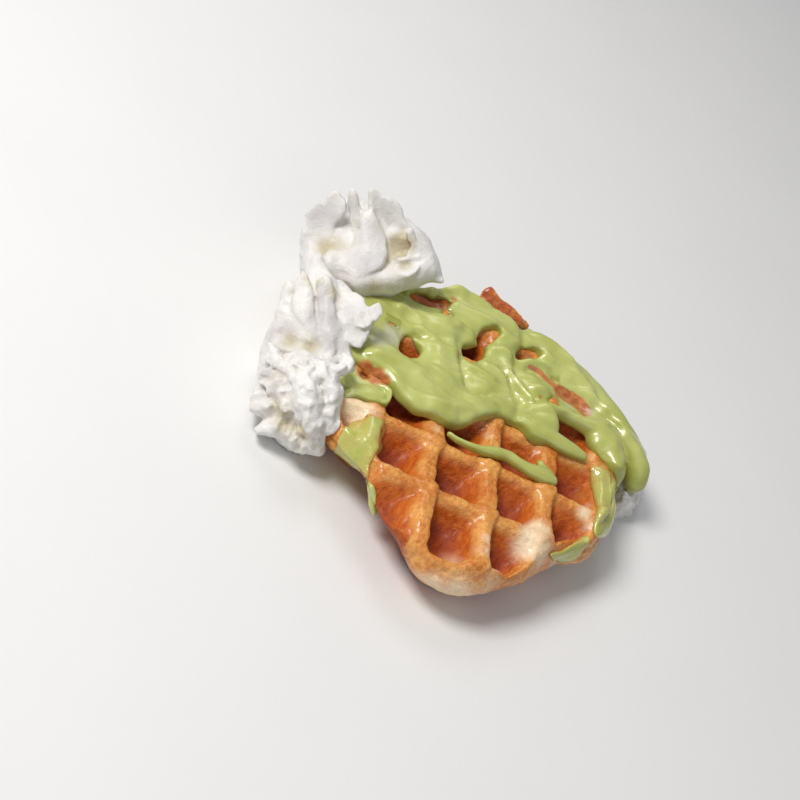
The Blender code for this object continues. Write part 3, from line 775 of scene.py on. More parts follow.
def make_dough(mat):
    block = Block((-49, -52, -2), (90, 92, 29), STEP_DOUGH)
    block.F = dough_field(block)
    # the crisp crust that stands up at the back rim
    flake(block, ((478, 303), (481, 294), (486, 288), (491, 287), (496, 292), (501, 299), (509, 305), (517, 313),
                  (524, 321), (522, 328), (514, 326), (505, 318), (496, 312), (486, 307)),
          (12, 80, 24.5), (29, 71.5, 22.8), 1.9)
    flake(block, ((490, 296), (496, 295), (503, 303), (512, 309), (521, 317), (527, 322), (530, 329), (520, 329),
                  (508, 322), (498, 314), (491, 306)), (15, 83.5, 23.0), (31, 74.2, 21.6), 1.3)
    q, quads, _ = hull_of(block.F)
    points = block.low + q * block.step
    out = facing(points, quads)
    x, y, z = points.T
    up, base, fall, edge, deg, r = dough_maps(x, y)
    upper = ease(out[:, 2], -0.25, 0.25) * ease(z, 9.0, 12.0)
    inward = ease(edge + 7.0 * open_side(x, y), 3.0, 8.0)
    depth = np.clip((THICKNESS - z) / POCKET_DEPTH, 0, 1) * inward
    under = ease(-out[:, 2], 0.0, 0.5) * ease(12 - z, 0, 6)
    side = np.clip(1 - np.abs(out[:, 2]) * 1.25, 0, 1) * ease(edge, 9.0, 3.0)
    # rough ridges, flaky layers round the rim, wrinkled floors
    rough = 0.15 * layers(x, y, z, 3.4, 50, 3) * (0.6 + 0.7 * (1 - depth))
    rough += 0.12 * (crests(x, y, z, 5.0, 60) - 0.6) * (0.4 + depth)
    # fine wrinkles across the walls
    u, v = 0.5 * x + 0.87 * y, -0.87 * x + 0.5 * y
    rough += 0.26 * (crests(u * 0.22, v, z * 0.5, 2.5, 62, 2) - 0.62) * ease(depth, 0.08, 0.4) * upper
    rough += 0.10 * noise(x, y, z, 1.7, 64) * (1 - 0.6 * depth) * upper
    warp = 1.5 * noise(x, y, z, 16, 70) + 0.5 * noise(x, y, z, 6, 71)
    sheets = np.sin(2 * np.pi * (z + warp) / 2.7)
    open_layers = ease(noise(x, y, z * 0.5, 15, 72), -0.25, 0.5)
    rough += side * (0.30 * sheets * open_layers + 0.3 * noise(x, y, z, 7, 73))
    seam = np.exp(-((z + 0.5 * noise(x, y, 0, 14, 74) - 10.4) / 0.8) ** 2)
    rough -= side * 0.45 * seam * ease(noise(x, y, 0, 20, 75), -0.5, 0.3)
    points = points + out * rough[:, None]
    points[:, 2] = np.maximum(points[:, 2], 0.0)
    # how hollow each point lies, which drives the painted shade in the hollows
    hollow = hollows(points, quads, 5)
    pale = np.maximum(spots(points, PALE), 0.38 * side * ease(np.abs(z - 11), 5.5, 2.0)
                      * ease(noise(x, y, z, 18, 80), -0.5, 0.4))
    brown = np.maximum(spots(points, BROWN), 0.5 * under * ease(noise(x, y, z, 9, 81), -0.4, 0.5))
    brown = np.maximum(brown, 0.55 * side * ease(z, 16, 20) * ease(noise(x, y, z, 10, 82), -0.2, 0.5))
    stain = spots(points, STAIN)
    depth = np.where(z < 9.5, np.clip(z / BASE_DEPTH, 0, 1) * 0.8, depth) * inward
    piece = build_piece("croffle_dough", points, quads, mat,
                        {"depth": depth, "pale": pale, "brown": brown, "stain": stain, "hollow": hollow})
    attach(piece, "root")
    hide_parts("croffle")
    return block


# ---- sauce -----------------------------------------------------------------------------------
# the pour's outline in the picture, at ridge level, from its left end round the front
POUR = ((338, 330), (346, 352), (362, 364), (378, 378), (391, 389), (401, 401), (413, 411), (428, 418),
        (445, 426), (462, 429), (480, 422), (500, 421), (518, 428), (530, 440), (546, 446), (556, 440),
        (560, 430), (572, 432), (588, 440), (600, 452), (612, 470), (628, 476), (641, 476), (646, 466),
        (640, 448), (630, 430), (612, 410), (600, 392), (590, 374), (574, 356), (558, 342), (544, 333),
        (528, 330), (516, 327), (506, 316), (494, 307), (482, 300), (474, 289), (458, 284), (440, 283),
        (416, 283), (392, 284), (360, 290), (340, 306))
# holes through it: outline in the picture, and how round the lip is
HOLES = (
    (((411, 294), (420, 291), (432, 291), (444, 296), (452, 303), (446, 306), (433, 306), (420, 301)), 1.0),
    (((407, 334), (403, 340), (402, 347), (406, 353), (413, 355), (420, 354), (423, 349), (420, 343),
      (413, 336)), 1.1),
    (((464, 346), (465, 354), (470, 360), (480, 359), (485, 355), (487, 346), (480, 344), (471, 345)), 0.9),
    (((481, 331), (482, 341), (488, 343), (495, 340), (498, 334), (491, 330)), 0.9),
    (((518, 350), (517, 356), (523, 359), (531, 357), (540, 356), (536, 350), (526, 347)), 0.9),
    (((556, 418), (562, 430), (575, 442), (590, 450), (601, 460), (606, 458), (601, 447), (590, 436),
      (577, 428), (565, 421)), 1.2),
)
# where the film is so thin that crust shows through it, and where it is milky: (px, py, z, mm, strength)
BARE = ((356, 364, 23, 3.2, 0.5), (366, 370, 23, 4.0, 0.9), (376, 376, 23, 3.8, 0.9), (384, 380, 23, 3.0, 0.8),
        (540, 397, 23, 1.8, 0.6), (454, 300, 23, 2.5, 0.6), (404, 336, 23, 1.8, 0.6), (480, 352, 23, 2.0, 0.4),
        *((px, py, 23.4, 1.4, 0.8) for px, py in threaded(((530, 367), (538, 371), (546, 378), (554, 385)), 4)),
        *((px, py, 23.4, 2.6, 1.15) for px, py in threaded(((560, 391), (569, 396), (578, 402), (586, 410)), 4)))
MILKY = ((392, 336, 23, 5.0, 0.9), (382, 340, 23, 4.5, 0.9), (400, 332, 23, 3.0, 0.6), (466, 306, 24, 4.0, 0.35),
         (590, 412, 23, 2.2, 0.7), (568, 408, 23, 2.4, 0.5), (345, 396, 23, 4.0, 0.5), (500, 396, 24, 3.0, 0.3), (540, 345, 24, 4.0, 0.3))

# how much thicker the pour is than its thin film: (px, py, half width px, mm), and how square each swell is
SWELLS = (
    # the crest of the big tongue, and how it goes on along the front
    (((372, 352, 8, 0.9), (388, 358, 14, 1.8), (404, 366, 18, 2.5), (422, 378, 20, 2.9), (438, 392, 18, 2.9)), 1.0),
    (((396, 382, 10, 2.4), (414, 396, 13, 3.0), (434, 407, 14, 3.2), (456, 411, 13, 3.0), (476, 409, 11, 2.6)), 1.0),
    (((472, 409, 10, 2.4), (494, 406, 10, 2.5), (512, 411, 10, 2.5), (530, 423, 10, 2.4), (546, 435, 10, 2.2),
      (564, 446, 9, 1.7), (580, 455, 7, 1.1)), 0.8),
    # the strand from the upper left, past the small hole, into the lobe
    (((408, 314, 5, 0.8), (416, 325, 5, 1.3), (426, 334, 6, 1.6), (438, 342, 8, 1.9), (448, 352, 10, 2.3),
      (454, 366, 11, 2.6), (457, 382, 12, 2.8)), 0.9),
    # streaks on the pad
    (((468, 366, 4, 1.2), (478, 371, 5, 1.7), (492, 380, 5, 1.5)), 1.2),
    (((472, 374, 4, 1.2), (480, 380, 5, 1.7), (490, 387, 4, 1.4)), 1.2),
    (((484, 362, 4, 1.3), (496, 370, 5, 1.8), (507, 381, 4, 1.5)), 1.2),
    # the upper roll, whose end hangs over the hole
    (((402, 303, 7, 1.0), (416, 312, 9, 2.0), (432, 320, 11, 2.8), (448, 325, 11, 3.1), (462, 330, 11, 3.2),
      (470, 336, 9, 3.0)), 0.75),
    # the second roll, to its right, with two crests
    (((452, 305, 4, 1.6), (466, 311, 5, 2.2), (480, 319, 6, 2.7), (493, 328, 6, 2.8), (506, 337, 7, 2.4)), 1.1),
    (((478, 307, 5, 1.3), (492, 314, 6, 1.9), (508, 323, 7, 2.2), (519, 333, 7, 2.0)), 1.0),
    # the strand behind the upper hole, and the flat part by the cream
    (((398, 288, 5, 0.7), (420, 285, 6, 1.2), (440, 286, 7, 1.6), (458, 290, 8, 1.9), (474, 298, 8, 1.8),
      (488, 306, 7, 1.5)), 0.9),
    # the bulge between the two right holes
    (((490, 350, 8, 1.0), (500, 350, 10, 1.7), (507, 358, 10, 1.8), (510, 368, 8, 1.4)), 0.8),
    # the narrow rope that runs down to the knob
    (((507, 368, 3.2, 1.0), (514, 379, 3.8, 1.9), (522, 390, 4.2, 2.4), (530, 401, 5, 2.8)), 0.9),
    # pads behind it, with bright tops
    (((514, 368, 5, 0.8), (524, 372, 7, 1.6), (534, 378, 6, 1.5)), 0.9),
    (((530, 386, 5, 0.9), (540, 390, 7, 1.8), (548, 396, 5, 1.3)), 0.9),
    # the knob
    (((520, 412, 6, 2.2), (531, 411, 8, 3.5), (543, 414, 9, 3.7), (550, 424, 8, 2.8)), 0.9),
    # the outer bands over the back
    (((520, 331, 8, 1.0), (534, 338, 11, 1.9), (550, 347, 12, 2.2), (566, 362, 12, 2.3), (578, 378, 11, 2.2),
      (588, 390, 10, 1.9)), 0.8),
    (((526, 342, 3.0, 1.4), (536, 349, 3.5, 2.0), (548, 358, 3.5, 2.0)), 1.2),
    (((556, 381, 4, 0.8), (572, 387, 5, 1.6), (588, 395, 6, 2.3), (600, 405, 6.5, 2.6), (612, 418, 6.5, 2.6),
      (624, 432, 6.5, 2.4), (633, 442, 5, 2.0)), 0.9),
    # the flap by the small hole on the right
    (((518, 359, 3.0, 0.8), (528, 361, 4.5, 1.5), (540, 364, 5, 1.7), (550, 367, 4, 1.2)), 0.8),
    # the rope over the right ridge, widening into the mass on the right
    (((536, 404, 3.4, 1.2), (548, 408, 4.2, 2.1), (562, 414, 5, 2.4), (576, 421, 6.5, 2.7), (590, 428, 10, 3.0),
      (602, 436, 13, 3.2), (611, 446, 14, 3.2), (616, 460, 12, 2.8)), 0.8),
    (((540, 404, 2.2, 1.8), (556, 411, 2.6, 2.7), (574, 420, 3.0, 3.2), (590, 427, 4.0, 3.7), (604, 429, 5, 3.6)), 1.2),
)
# flows that lie over one another: outline in the picture, mm at most, and how wide the rounded edge is in mm
SHEETS = (
    # the tongue with the lobe
    (((362, 352), (374, 347), (386, 344), (396, 347), (402, 354), (412, 360), (424, 360), (430, 354), (428, 346),
      (420, 336), (413, 326), (418, 323), (430, 331), (440, 338), (450, 337), (457, 343), (462, 353), (462, 364),
      (461, 374), (465, 385), (473, 394), (486, 395), (500, 392), (512, 397), (524, 406), (538, 405), (549, 411),
      (556, 422), (560, 436), (556, 448), (540, 448), (526, 440), (514, 432), (500, 427), (482, 428), (462, 435),
      (444, 432), (426, 424), (410, 416), (398, 406), (388, 393), (381, 381), (375, 370), (366, 361)), 3.0, 5.0),
    # the pad to its right
    (((461, 355), (470, 361), (481, 363), (491, 362), (502, 370), (511, 381), (516, 391), (510, 398), (496, 398),
      (482, 398), (470, 396), (462, 388), (458, 376), (457, 364)), 0.9, 2.4),
    # the upper roll
    (((394, 303), (408, 305), (422, 311), (436, 313), (450, 315), (463, 320), (474, 327), (480, 337), (477, 344),
      (467, 346), (458, 342), (448, 341), (438, 337), (428, 332), (416, 325), (405, 316), (396, 310)), 2.8, 3.4),
    # the second roll
    (((446, 300), (458, 300), (472, 305), (488, 310), (504, 317), (517, 326), (524, 336), (521, 348), (512, 352),
      (500, 347), (490, 339), (480, 332), (470, 325), (460, 319), (450, 312)), 2.1, 3.2),
    # the outer band
    (((518, 325), (530, 329), (546, 335), (562, 346), (576, 360), (590, 376), (602, 394), (596, 400), (582, 390),
      (568, 384), (554, 378), (548, 368), (538, 358), (527, 348), (518, 340)), 1.8, 3.2),
    # the mass at the right end
    (((560, 411), (576, 415), (592, 416), (606, 419), (620, 428), (630, 442), (634, 460), (630, 480), (612, 484),
      (602, 472), (596, 457), (587, 445), (576, 434), (565, 424)), 2.2, 4.5),
)
# where it lies thinner: (px, py, radius px, mm)
DIPS = ((481, 352, 14, 0.5), (500, 397, 8, 0.7), (392, 338, 14, 0.7), (368, 372, 12, 0.8), (486, 340, 9, 0.6),
        (574, 404, 20, 0.9), (556, 374, 9, 2.0), (528, 368, 6, 0.9), (540, 374, 6, 1.0), (550, 381, 6, 1.0),
         (376, 375, 10, 0.6), (520, 361, 5, 0.9), (552, 402, 8, 0.5), (437, 304, 16, 0.3), (530, 350, 10, 0.5))
# creases between flows: line in the picture, radius px, mm
CREASES = (
    (((460, 356), (463, 368), (467, 381), (476, 390), (490, 394)), 4.5, 1.5),
    (((418, 333), (432, 340), (446, 345), (460, 350)), 4.5, 1.5),
    (((446, 312), (460, 321), (474, 331), (482, 338)), 4.0, 1.1),
    (((508, 318), (518, 330), (525, 344)), 4.0, 0.9),
    (((502, 368), (510, 381), (519, 396)), 4.0, 1.2),
    (((516, 370), (526, 384), (536, 397)), 3.6, 1.0),
    (((596, 404), (610, 420), (622, 438), (629, 458)), 5.0, 1.6),
    (((404, 312), (414, 322), (420, 334)), 4.0, 0.7),
    (((524, 402), (519, 410), (514, 420)), 4.0, 0.9),
    (((480, 397), (464, 392), (452, 384)), 4.0, 0.5),
)
# separate ropes: (px, py, z, half width px, half height mm)
FOLDS = (
    # a long thin drip over the bare pockets
    ((449, 434, 22.8, 2.2, 1.0), (457, 440, 23.0, 2.6, 1.2), (469, 446, 23.2, 3.5, 1.5),
     (482, 450, 23.3, 4.8, 1.7), (496, 453, 23.4, 6.2, 1.9), (508, 457, 23.4, 6.2, 1.9),
     (519, 464, 23.4, 6.2, 2.0), (531, 471, 23.3, 8.0, 2.1), (543, 476, 23.2, 9.5, 2.3),
     (551, 481, 22.9, 7.0, 2.0)),
    ((540, 464, 23.0, 4.0, 1.4), (545, 473, 23.0, 6, 1.8)),
    ((536, 426, 24.0, 11, 2.4), (548, 436, 24.0, 11, 2.4), (560, 444, 23.9, 10, 2.4), (572, 451, 23.6, 8.5, 2.3),
     (581, 457, 23.2, 6.0, 2.0)),
    # the band that hangs over the right rim
    ((566, 362, 22.6, 9, 2.4), (581, 377, 22.3, 12, 2.6), (594, 392, 22.0, 14, 2.8), (606, 408, 21.6, 14, 3.0),
     (618, 425, 21.0, 14, 3.2), (629, 441, 20.2, 13, 3.2), (637, 455, 18.6, 11, 3.2)),
)
# runs down the rim: (x, y, z, radius)
RUNS = (
    ((70, 40.5, 22.0, 3.0), (74.6, 37, 20.6, 3.6), (77.8, 33.8, 17.8, 4.2), (79.4, 31.8, 14.6, 3.9)),
    ((59, 31.5, 21.8, 3.6), (63.6, 28.0, 19.4, 4.6), (66.8, 25.2, 16.4, 4.4), (68.4, 23.0, 13.0, 3.2)),
)
# runs down the back of the rim: angle round the middle, how low, radius
BACK_RUNS = ((33, 11.0, 2.6), (45, 7.5, 2.4), (63, 12.5, 2.2), (76, 14.5, 1.9), (108, 9.5, 2.4), (120, 13.5, 2.0))
STEP_SAUCE = 0.55


def plan_run(points, px_mm=0.302):
    return [(*at(px, py, z)[:2], z, half * px_mm, tall) for px, py, z, half, tall in points]


def swell_map(x, y):
    """How much thicker than the film the pour is, over the plan."""
    total = np.zeros(x.shape)
    for pixels, tall, reach in SHEETS:
        t = np.clip(-inside_by(x, y, plan_loop(pixels, 23.4)) / reach, 0, 1)
        total = smax(total, tall * (1 - (1 - t) ** 2) ** 0.6, 0.3)
    for line, square in SWELLS:
        pts = threaded([(*at(px, py, 23.6)[:2], half * 0.302, tall) for px, py, half, tall in line], 4)
        best, tall = np.full(x.shape, 9.0), np.zeros(x.shape)
        for p, q in zip(pts[:-1], pts[1:]):
            ex, ey = q[0] - p[0], q[1] - p[1]
            t = np.clip(((x - p[0]) * ex + (y - p[1]) * ey) / max(ex * ex + ey * ey, 1e-9), 0, 1)
            u = np.hypot(x - p[0] - t * ex, y - p[1] - t * ey) / (p[2] + (q[2] - p[2]) * t)
            near = u < best
            best = np.where(near, u, best)
            tall = np.where(near, p[3] + (q[3] - p[3]) * t, tall)
        swell = 1.25 * tall * np.clip(1 - (best / 1.15) ** 2, 0, 1) ** square
        total = smax(total, swell, 0.6)
    for px, py, size, deep in DIPS:
        cx, cy = at(px, py, 23.6)[:2]
        total -= deep * np.exp(-((x - cx) ** 2 + (y - cy) ** 2) / (size * 0.302) ** 2)
    for line, size, deep in CREASES:
        pts = threaded([at(px, py, 23.8)[:2] for px, py in line], 4)
        near = np.full(x.shape, 1e9)
        for p, q in zip(pts[:-1], pts[1:]):
            ex, ey = q[0] - p[0], q[1] - p[1]
            t = np.clip(((x - p[0]) * ex + (y - p[1]) * ey) / max(ex * ex + ey * ey, 1e-9), 0, 1)
            near = np.minimum(near, (x - p[0] - t * ex) ** 2 + (y - p[1] - t * ey) ** 2)
        total -= deep * np.exp(-near / (size * 0.302) ** 2)
    return blurred(total, 3)


def make_sauce(dough, mat):
    block = Block((-38, -3, 5), (88, 86, 31), STEP_SAUCE)
    x, y = block.plane()
    levels = block.axes[2]
    ground = dough_field(block, sag=1.3, k=3.2)
    thick = 1.25 + 0.25 * noise(x, y, 0, 9, 90) + 0.12 * noise(x, y, 0, 4.5, 91) + swell_map(x, y)
    thick = thick + 0.34 * noise(x * 0.32, y, 0, 3.2, 93) + 0.22 * noise(x * 0.4, y + 0.15 * x, 0, 1.9, 94)
    dip = np.zeros_like(thick)
    for px, py, z, size, strength in BARE:
        place = at(px, py, z)
        far = ((x - place[0]) ** 2 + (y - place[1]) ** 2) / (0.85 * size) ** 2
        dip = np.maximum(dip, 1.3 * min(strength, 1.0) * np.exp(-far))
    thick = np.maximum(thick - dip, 0.45)
    outline = inside_by(x, y, plan_loop(POUR, 22.6))
    skirt = 16.5 + 2.6 * noise(x, y, 0, 10, 92)
    film = ground - thick[..., None]
    film = smax(film, (outline[..., None] + 0.3).astype(np.float32), 2.6)
    film = smax(film, skirt[..., None] - levels[None, None, :], 2.4)
    film = smax(film, (thick[..., None] - 4.4) - ground, 0.8)
    block.F = film.astype(np.float32)
    for pixels, lip in HOLES:
        hole = inside_by(x, y, plan_loop(pixels, 23.0))
        block.F = smax(block.F, -hole[..., None].astype(np.float32), lip * 1.8)
    for line in FOLDS:
        block.run(plan_run(line), k=1.1)
    for line in RUNS:
        block.bead(line, 2.4)
    for deg, low, size in BACK_RUNS:
        heights = np.linspace(21.5, low, 5)
        _, table = rim_table(heights)
        line = []
        for j, z in enumerate(heights):
            d = deg + 1.5 * math.sin(z * 0.9 + deg)
            r = np.interp(d, ANGLES, table[:, j]) + 0.2
            line.append((MIDDLE[0] + r * math.cos(math.radians(d)), MIDDLE[1] + r * math.sin(math.radians(d)), z,
                         size * (0.85 if 0 < j < 4 else 1.0)))
        block.bead(line, 1.6)
    # it lies on the dough
    grid = np.stack(np.meshgrid(*block.axes, indexing="ij"), -1).reshape(-1, 3)
    crust = trilinear(dough.F, (grid - dough.low) / dough.step).reshape(block.F.shape)
    block.F = smax(block.F, -(crust + 0.35), 0.4).astype(np.float32)
    q, quads, _ = hull_of(block.F)
    points = block.low + q * block.step
    out = facing(points, quads)
    px, py, pz = points.T
    points = points + out * (0.12 * noise(px, py, pz, 4.0, 95))[:, None]
    cover = trilinear(dough.F, (points - dough.low) / dough.step)
    thin = ease(1.25 - cover, 0.0, 0.9) * ease(out[:, 2], -0.4, 0.3)
    # painted shade: deeper olive in the pour's concave creases
    thin = np.maximum(thin, 0.45 * ease(hollows(points, quads, 12), -0.1, -0.9))
    # painted shade: deeper olive on steep and down-turned sides
    thin = np.maximum(thin, 0.6 * ease(0.82 - out[:, 2], 0.0, 0.6))
    piece = build_piece("sauce_pour", points, quads, mat,
                        {"thin": thin, "bare": spots(points, BARE, 0.35), "milky": spots(points, MILKY, 0.5)})
    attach(piece, "root")
    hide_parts("green_sauce")


def make_left_sauce(dough, mat):
    block = Block((-46, -14, 12), (-4, 22, 29), 0.45)
    x, y = block.plane()
    ground = dough_field(block, sag=1.6, k=2.6)
    thick = 0.75 + 0.15 * noise(x, y, 0, 6, 96)
    for line, square in (
            (((345, 384, 9, 0.4), (358, 387, 10, 1.0), (371, 391, 10, 1.3), (382, 396, 8, 1.4)), 0.8),
            (((378, 382, 4, 0.6), (385, 387, 5, 1.7), (390, 394, 5, 2.1), (388, 403, 4.5, 1.8),
              (378, 402, 4, 1.0)), 0.9),
            (((352, 392, 4, 0.6), (364, 397, 4.5, 1.0), (378, 402, 4.5, 1.2)), 0.9)):
        pts = threaded([(*at(px, py, 23.6)[:2], half * 0.302, tall) for px, py, half, tall in line], 4)
        for p in pts:
            u = np.hypot(x - p[0], y - p[1]) / p[2]
            thick = smax(thick, 0.75 + p[3] * np.clip(1 - u * u, 0, 1) ** square, 0.3)
    sheet = inside_by(x, y, plan_loop(((338, 352), (350, 357), (364, 367), (376, 375), (388, 384), (394, 392),
                                       (391, 401), (386, 407), (376, 404), (361, 398), (346, 397), (336, 390)), 22.8))
    film = smax(ground - thick[..., None], (sheet[..., None] + 0.2).astype(np.float32), 1.6)
    block.F = smax(film, (thick[..., None] - 3.4) - ground, 0.6).astype(np.float32)
    hole = inside_by(x, y, plan_loop(((362, 370), (366, 369), (370, 372), (371, 376), (367, 377), (363, 374)), 23.0))
    block.F = smax(block.F, -hole[..., None].astype(np.float32), 0.8)
    grid = np.stack(np.meshgrid(*block.axes, indexing="ij"), -1)
    crust = trilinear(dough.F, (grid.reshape(-1, 3) - dough.low) / dough.step).reshape(block.F.shape)
    block.F = smax(block.F, -(crust + 0.3), 0.3).astype(np.float32)
    q, quads, _ = hull_of(block.F)
    points = block.low + q * block.step
    out = facing(points, quads)
    cover = trilinear(dough.F, (points - dough.low) / dough.step)
    thin = ease(1.7 - cover, 0.0, 1.2) * ease(out[:, 2], -0.4, 0.3)
    piece = build_piece("sauce_left", points, quads, mat,
                        {"thin": thin, "bare": spots(points, BARE, 0.35), "milky": spots(points, MILKY, 0.5)})
    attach(piece, "root")
    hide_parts("green_sauce_left")


def make_glaze(dough, name, low, high, loop, thick, mat, beads=(), ragged=1.0, tone=0.0):
    """A thin film on the dough where the picture shows one."""
    block = Block(low, high, 0.5)
    grid = np.stack(np.meshgrid(*block.axes, indexing="ij"), -1)
    crust = trilinear(dough.F, (grid.reshape(-1, 3) - dough.low) / dough.step).reshape(block.F.shape)
    px, py = seen(grid[..., 0], grid[..., 1], grid[..., 2])
    mask = inside_by(px, py, threaded(loop, 4, closed=True)) * 0.32
    mask = mask + ragged * 0.9 * noise(grid[..., 0], grid[..., 1], grid[..., 2], 7, 98)
    mask = mask + ragged * 0.5 * noise(grid[..., 0], grid[..., 1], grid[..., 2], 2.8, 97)
    film = smax(crust - thick - 0.25 * noise(grid[..., 0], grid[..., 1], grid[..., 2], 5, 99), mask - 0.3, 2.4 * thick)
    block.F = film.astype(np.float32)
    for line in beads:
        block.bead(line, 1.2)
    block.F = smax(block.F, -(crust + 0.3), 0.3).astype(np.float32)
    q, quads, _ = hull_of(block.F)
    points = block.low + q * block.step
    cover = trilinear(dough.F, (points - dough.low) / dough.step)
    thin = ease(thick + 0.1 - cover, 0.0, thick) + tone
    piece = build_piece(name, points, quads, mat, {"thin": thin})
    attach(piece, "root")


# ---- cream --------------------------------------------------------------------------------------
class View:
    """A block in the picture's own axes: along px, along py, and towards the camera."""

    def __init__(self, depth, low, high, step):
        self.depth = depth
        self.s = depth / FOCAL
        s = self.s
        self.block = Block((low[0] * s, low[1] * s, low[2]), (high[0] * s, high[1] * s, high[2]), step)

    def world(self, q):
        """Grid points, in mm of this view, as points of the part's frame."""
        px, py = q[..., 0] / self.s, q[..., 1] / self.s
        ray = (AHEAD + ((px - 400) / FOCAL)[..., None] * RIGHT - ((py - 400) / FOCAL)[..., None] * UP)
        return EYE + ray * (self.depth - q[..., 2])[..., None]

    def run(self, line, k=1.0, cut=False, sharp=2.0):
        s = self.s
        self.block.run([(px * s, py * s, w, half * s, tall) for px, py, w, half, tall in line],
                       k=k, cut=cut, sharp=sharp)


def leaf(view, outline, cx, cy, w, rise, across, bend, thick, k=0.5, wavy=0.5, edge=0.45):
    """A curved leaf of cream seen face on: its outline in the picture, and its lie towards the camera.

    rise and across are its slopes up and to the right, bend how much it curls, in 1/mm.
    """
    block, s = view.block, view.s
    loop = threaded([(px * s, py * s) for px, py in outline], 4, closed=True)
    low, high = loop.min(0) - 3, loop.max(0) + 3
    where = block.part((low[0], low[1], -90), (high[0], high[1], 90))
    a, b = np.meshgrid(block.axes[0][where[0]], block.axes[1][where[1]], indexing="ij")
    rim = inside_by(a, b, loop) + wavy * (0.6 * noise(a, b, 0, 2.4, 140) + 0.25 * noise(a, b, 0, 1.3, 143))
    u, v = a - cx * s, cy * s - b
    mid = w + rise * v + across * u + bend * u * u + wavy * noise(a, b, 0, 7, 141)
    face = np.abs(block.axes[2][where[2]][None, None, :] - mid[..., None]) - thick / 2
    face = face / np.sqrt(1 + rise * rise + (across + 2 * bend * u[..., None]) ** 2)
    block.join(smax(face, np.broadcast_to(rim[..., None], face.shape), edge).astype(np.float32), where, k)


def make_cream(name, node, view, runs, cuts, dough, mat, floor=0.15, crisp=0.5, k=1.0, extra=None, leaves=(),
               warm_shade=(), cool_shade=(), grainy=0.2, body=(), soften=0):
    for line in body:
        view.run(line, k=2.2)
    for line in runs:
        view.run(line, k=k)
    for line in cuts:
        view.run(line, k=0.9, cut=True)
    for one in leaves:
        leaf(view, *one)
    block = view.block
    grid = np.stack(np.meshgrid(*block.axes, indexing="ij"), -1)
    world = view.world(grid)
    x, y, z = world[..., 0], world[..., 1], world[..., 2]
    F = block.F
    for axis in (0, 1, 2):
        for _ in range(soften):
            F = 0.25 * np.roll(F, 1, axis) + 0.5 * F + 0.25 * np.roll(F, -1, axis)
    if extra is not None:
        F = smin(F, extra(x, y, z), 4.0)
    a, b, w = grid[..., 0], grid[..., 1], grid[..., 2]
    ribs = crests(a, b * 0.42, w * 0.8, 3.6, 110) - 0.62
    F = F - crisp * (1.1 * ribs + 0.8 * (crests(x, y, z, 7.5, 112, 2) - 0.62) + 0.5 * noise(x, y, z, 9.0, 121))
    F = F - grainy * (0.95 * (crests(x, y, z, 4.8, 122, 3) - 0.62) + 0.22 * noise(x, y, z, 1.9, 120))
    # the side turned away has coarser ribs
    F = F - ease(-w, 4.0, 9.0) * (1.5 * (crests(a * 0.8, b * 0.35, w * 0.8, 5.0, 115) - 0.62) + 0.5 * noise(x, y, z, 5, 116))
    crust = trilinear(dough.F, (world.reshape(-1, 3) - dough.low) / dough.step).reshape(F.shape)
    inside = ((x > dough.low[0]) & (x < dough.axes[0][-1]) & (y > dough.low[1]) & (y < dough.axes[1][-1])
              & (z < dough.axes[2][-1]))
    crust = np.where(inside, crust, 9.0)
    F = smax(F, -(crust - 0.1), 0.8)
    F = smax(F, floor - z, 0.8)
    block.F = F.astype(np.float32)
    q, quads, _ = hull_of(block.F, 1)
    points = view.world(block.low + q * block.step)
    # the picture's y axis points down, which turns the faces inside out
    quads = quads[:, ::-1]
    p = points[quads]
    if (np.cross(p[:, 1] - p[:, 0], p[:, 2] - p[:, 0]) * p[:, 0]).sum() < 0:
        quads = quads[:, ::-1]
    # painted shade: warm and cool tints round listed places
    tints = {}
    for key, listed in (("warm_shade", warm_shade), ("cool_shade", cool_shade)):
        tints[key] = np.zeros(len(points))
        for px, py, w, size, strength in listed:
            place = view.world(np.array([px * view.s, py * view.s, w]))
            far = np.linalg.norm(points - place, axis=1) / size
            tints[key] = np.maximum(tints[key], strength * np.exp(-1.2 * far * far))
    # how hollow each point lies, which drives the painted shade in the cream's hollows
    piece = build_piece(name, points, quads, mat, {"hollow": hollows(points, quads, 10), **tints})
    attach(piece, "root")
    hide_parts(node)
    return piece


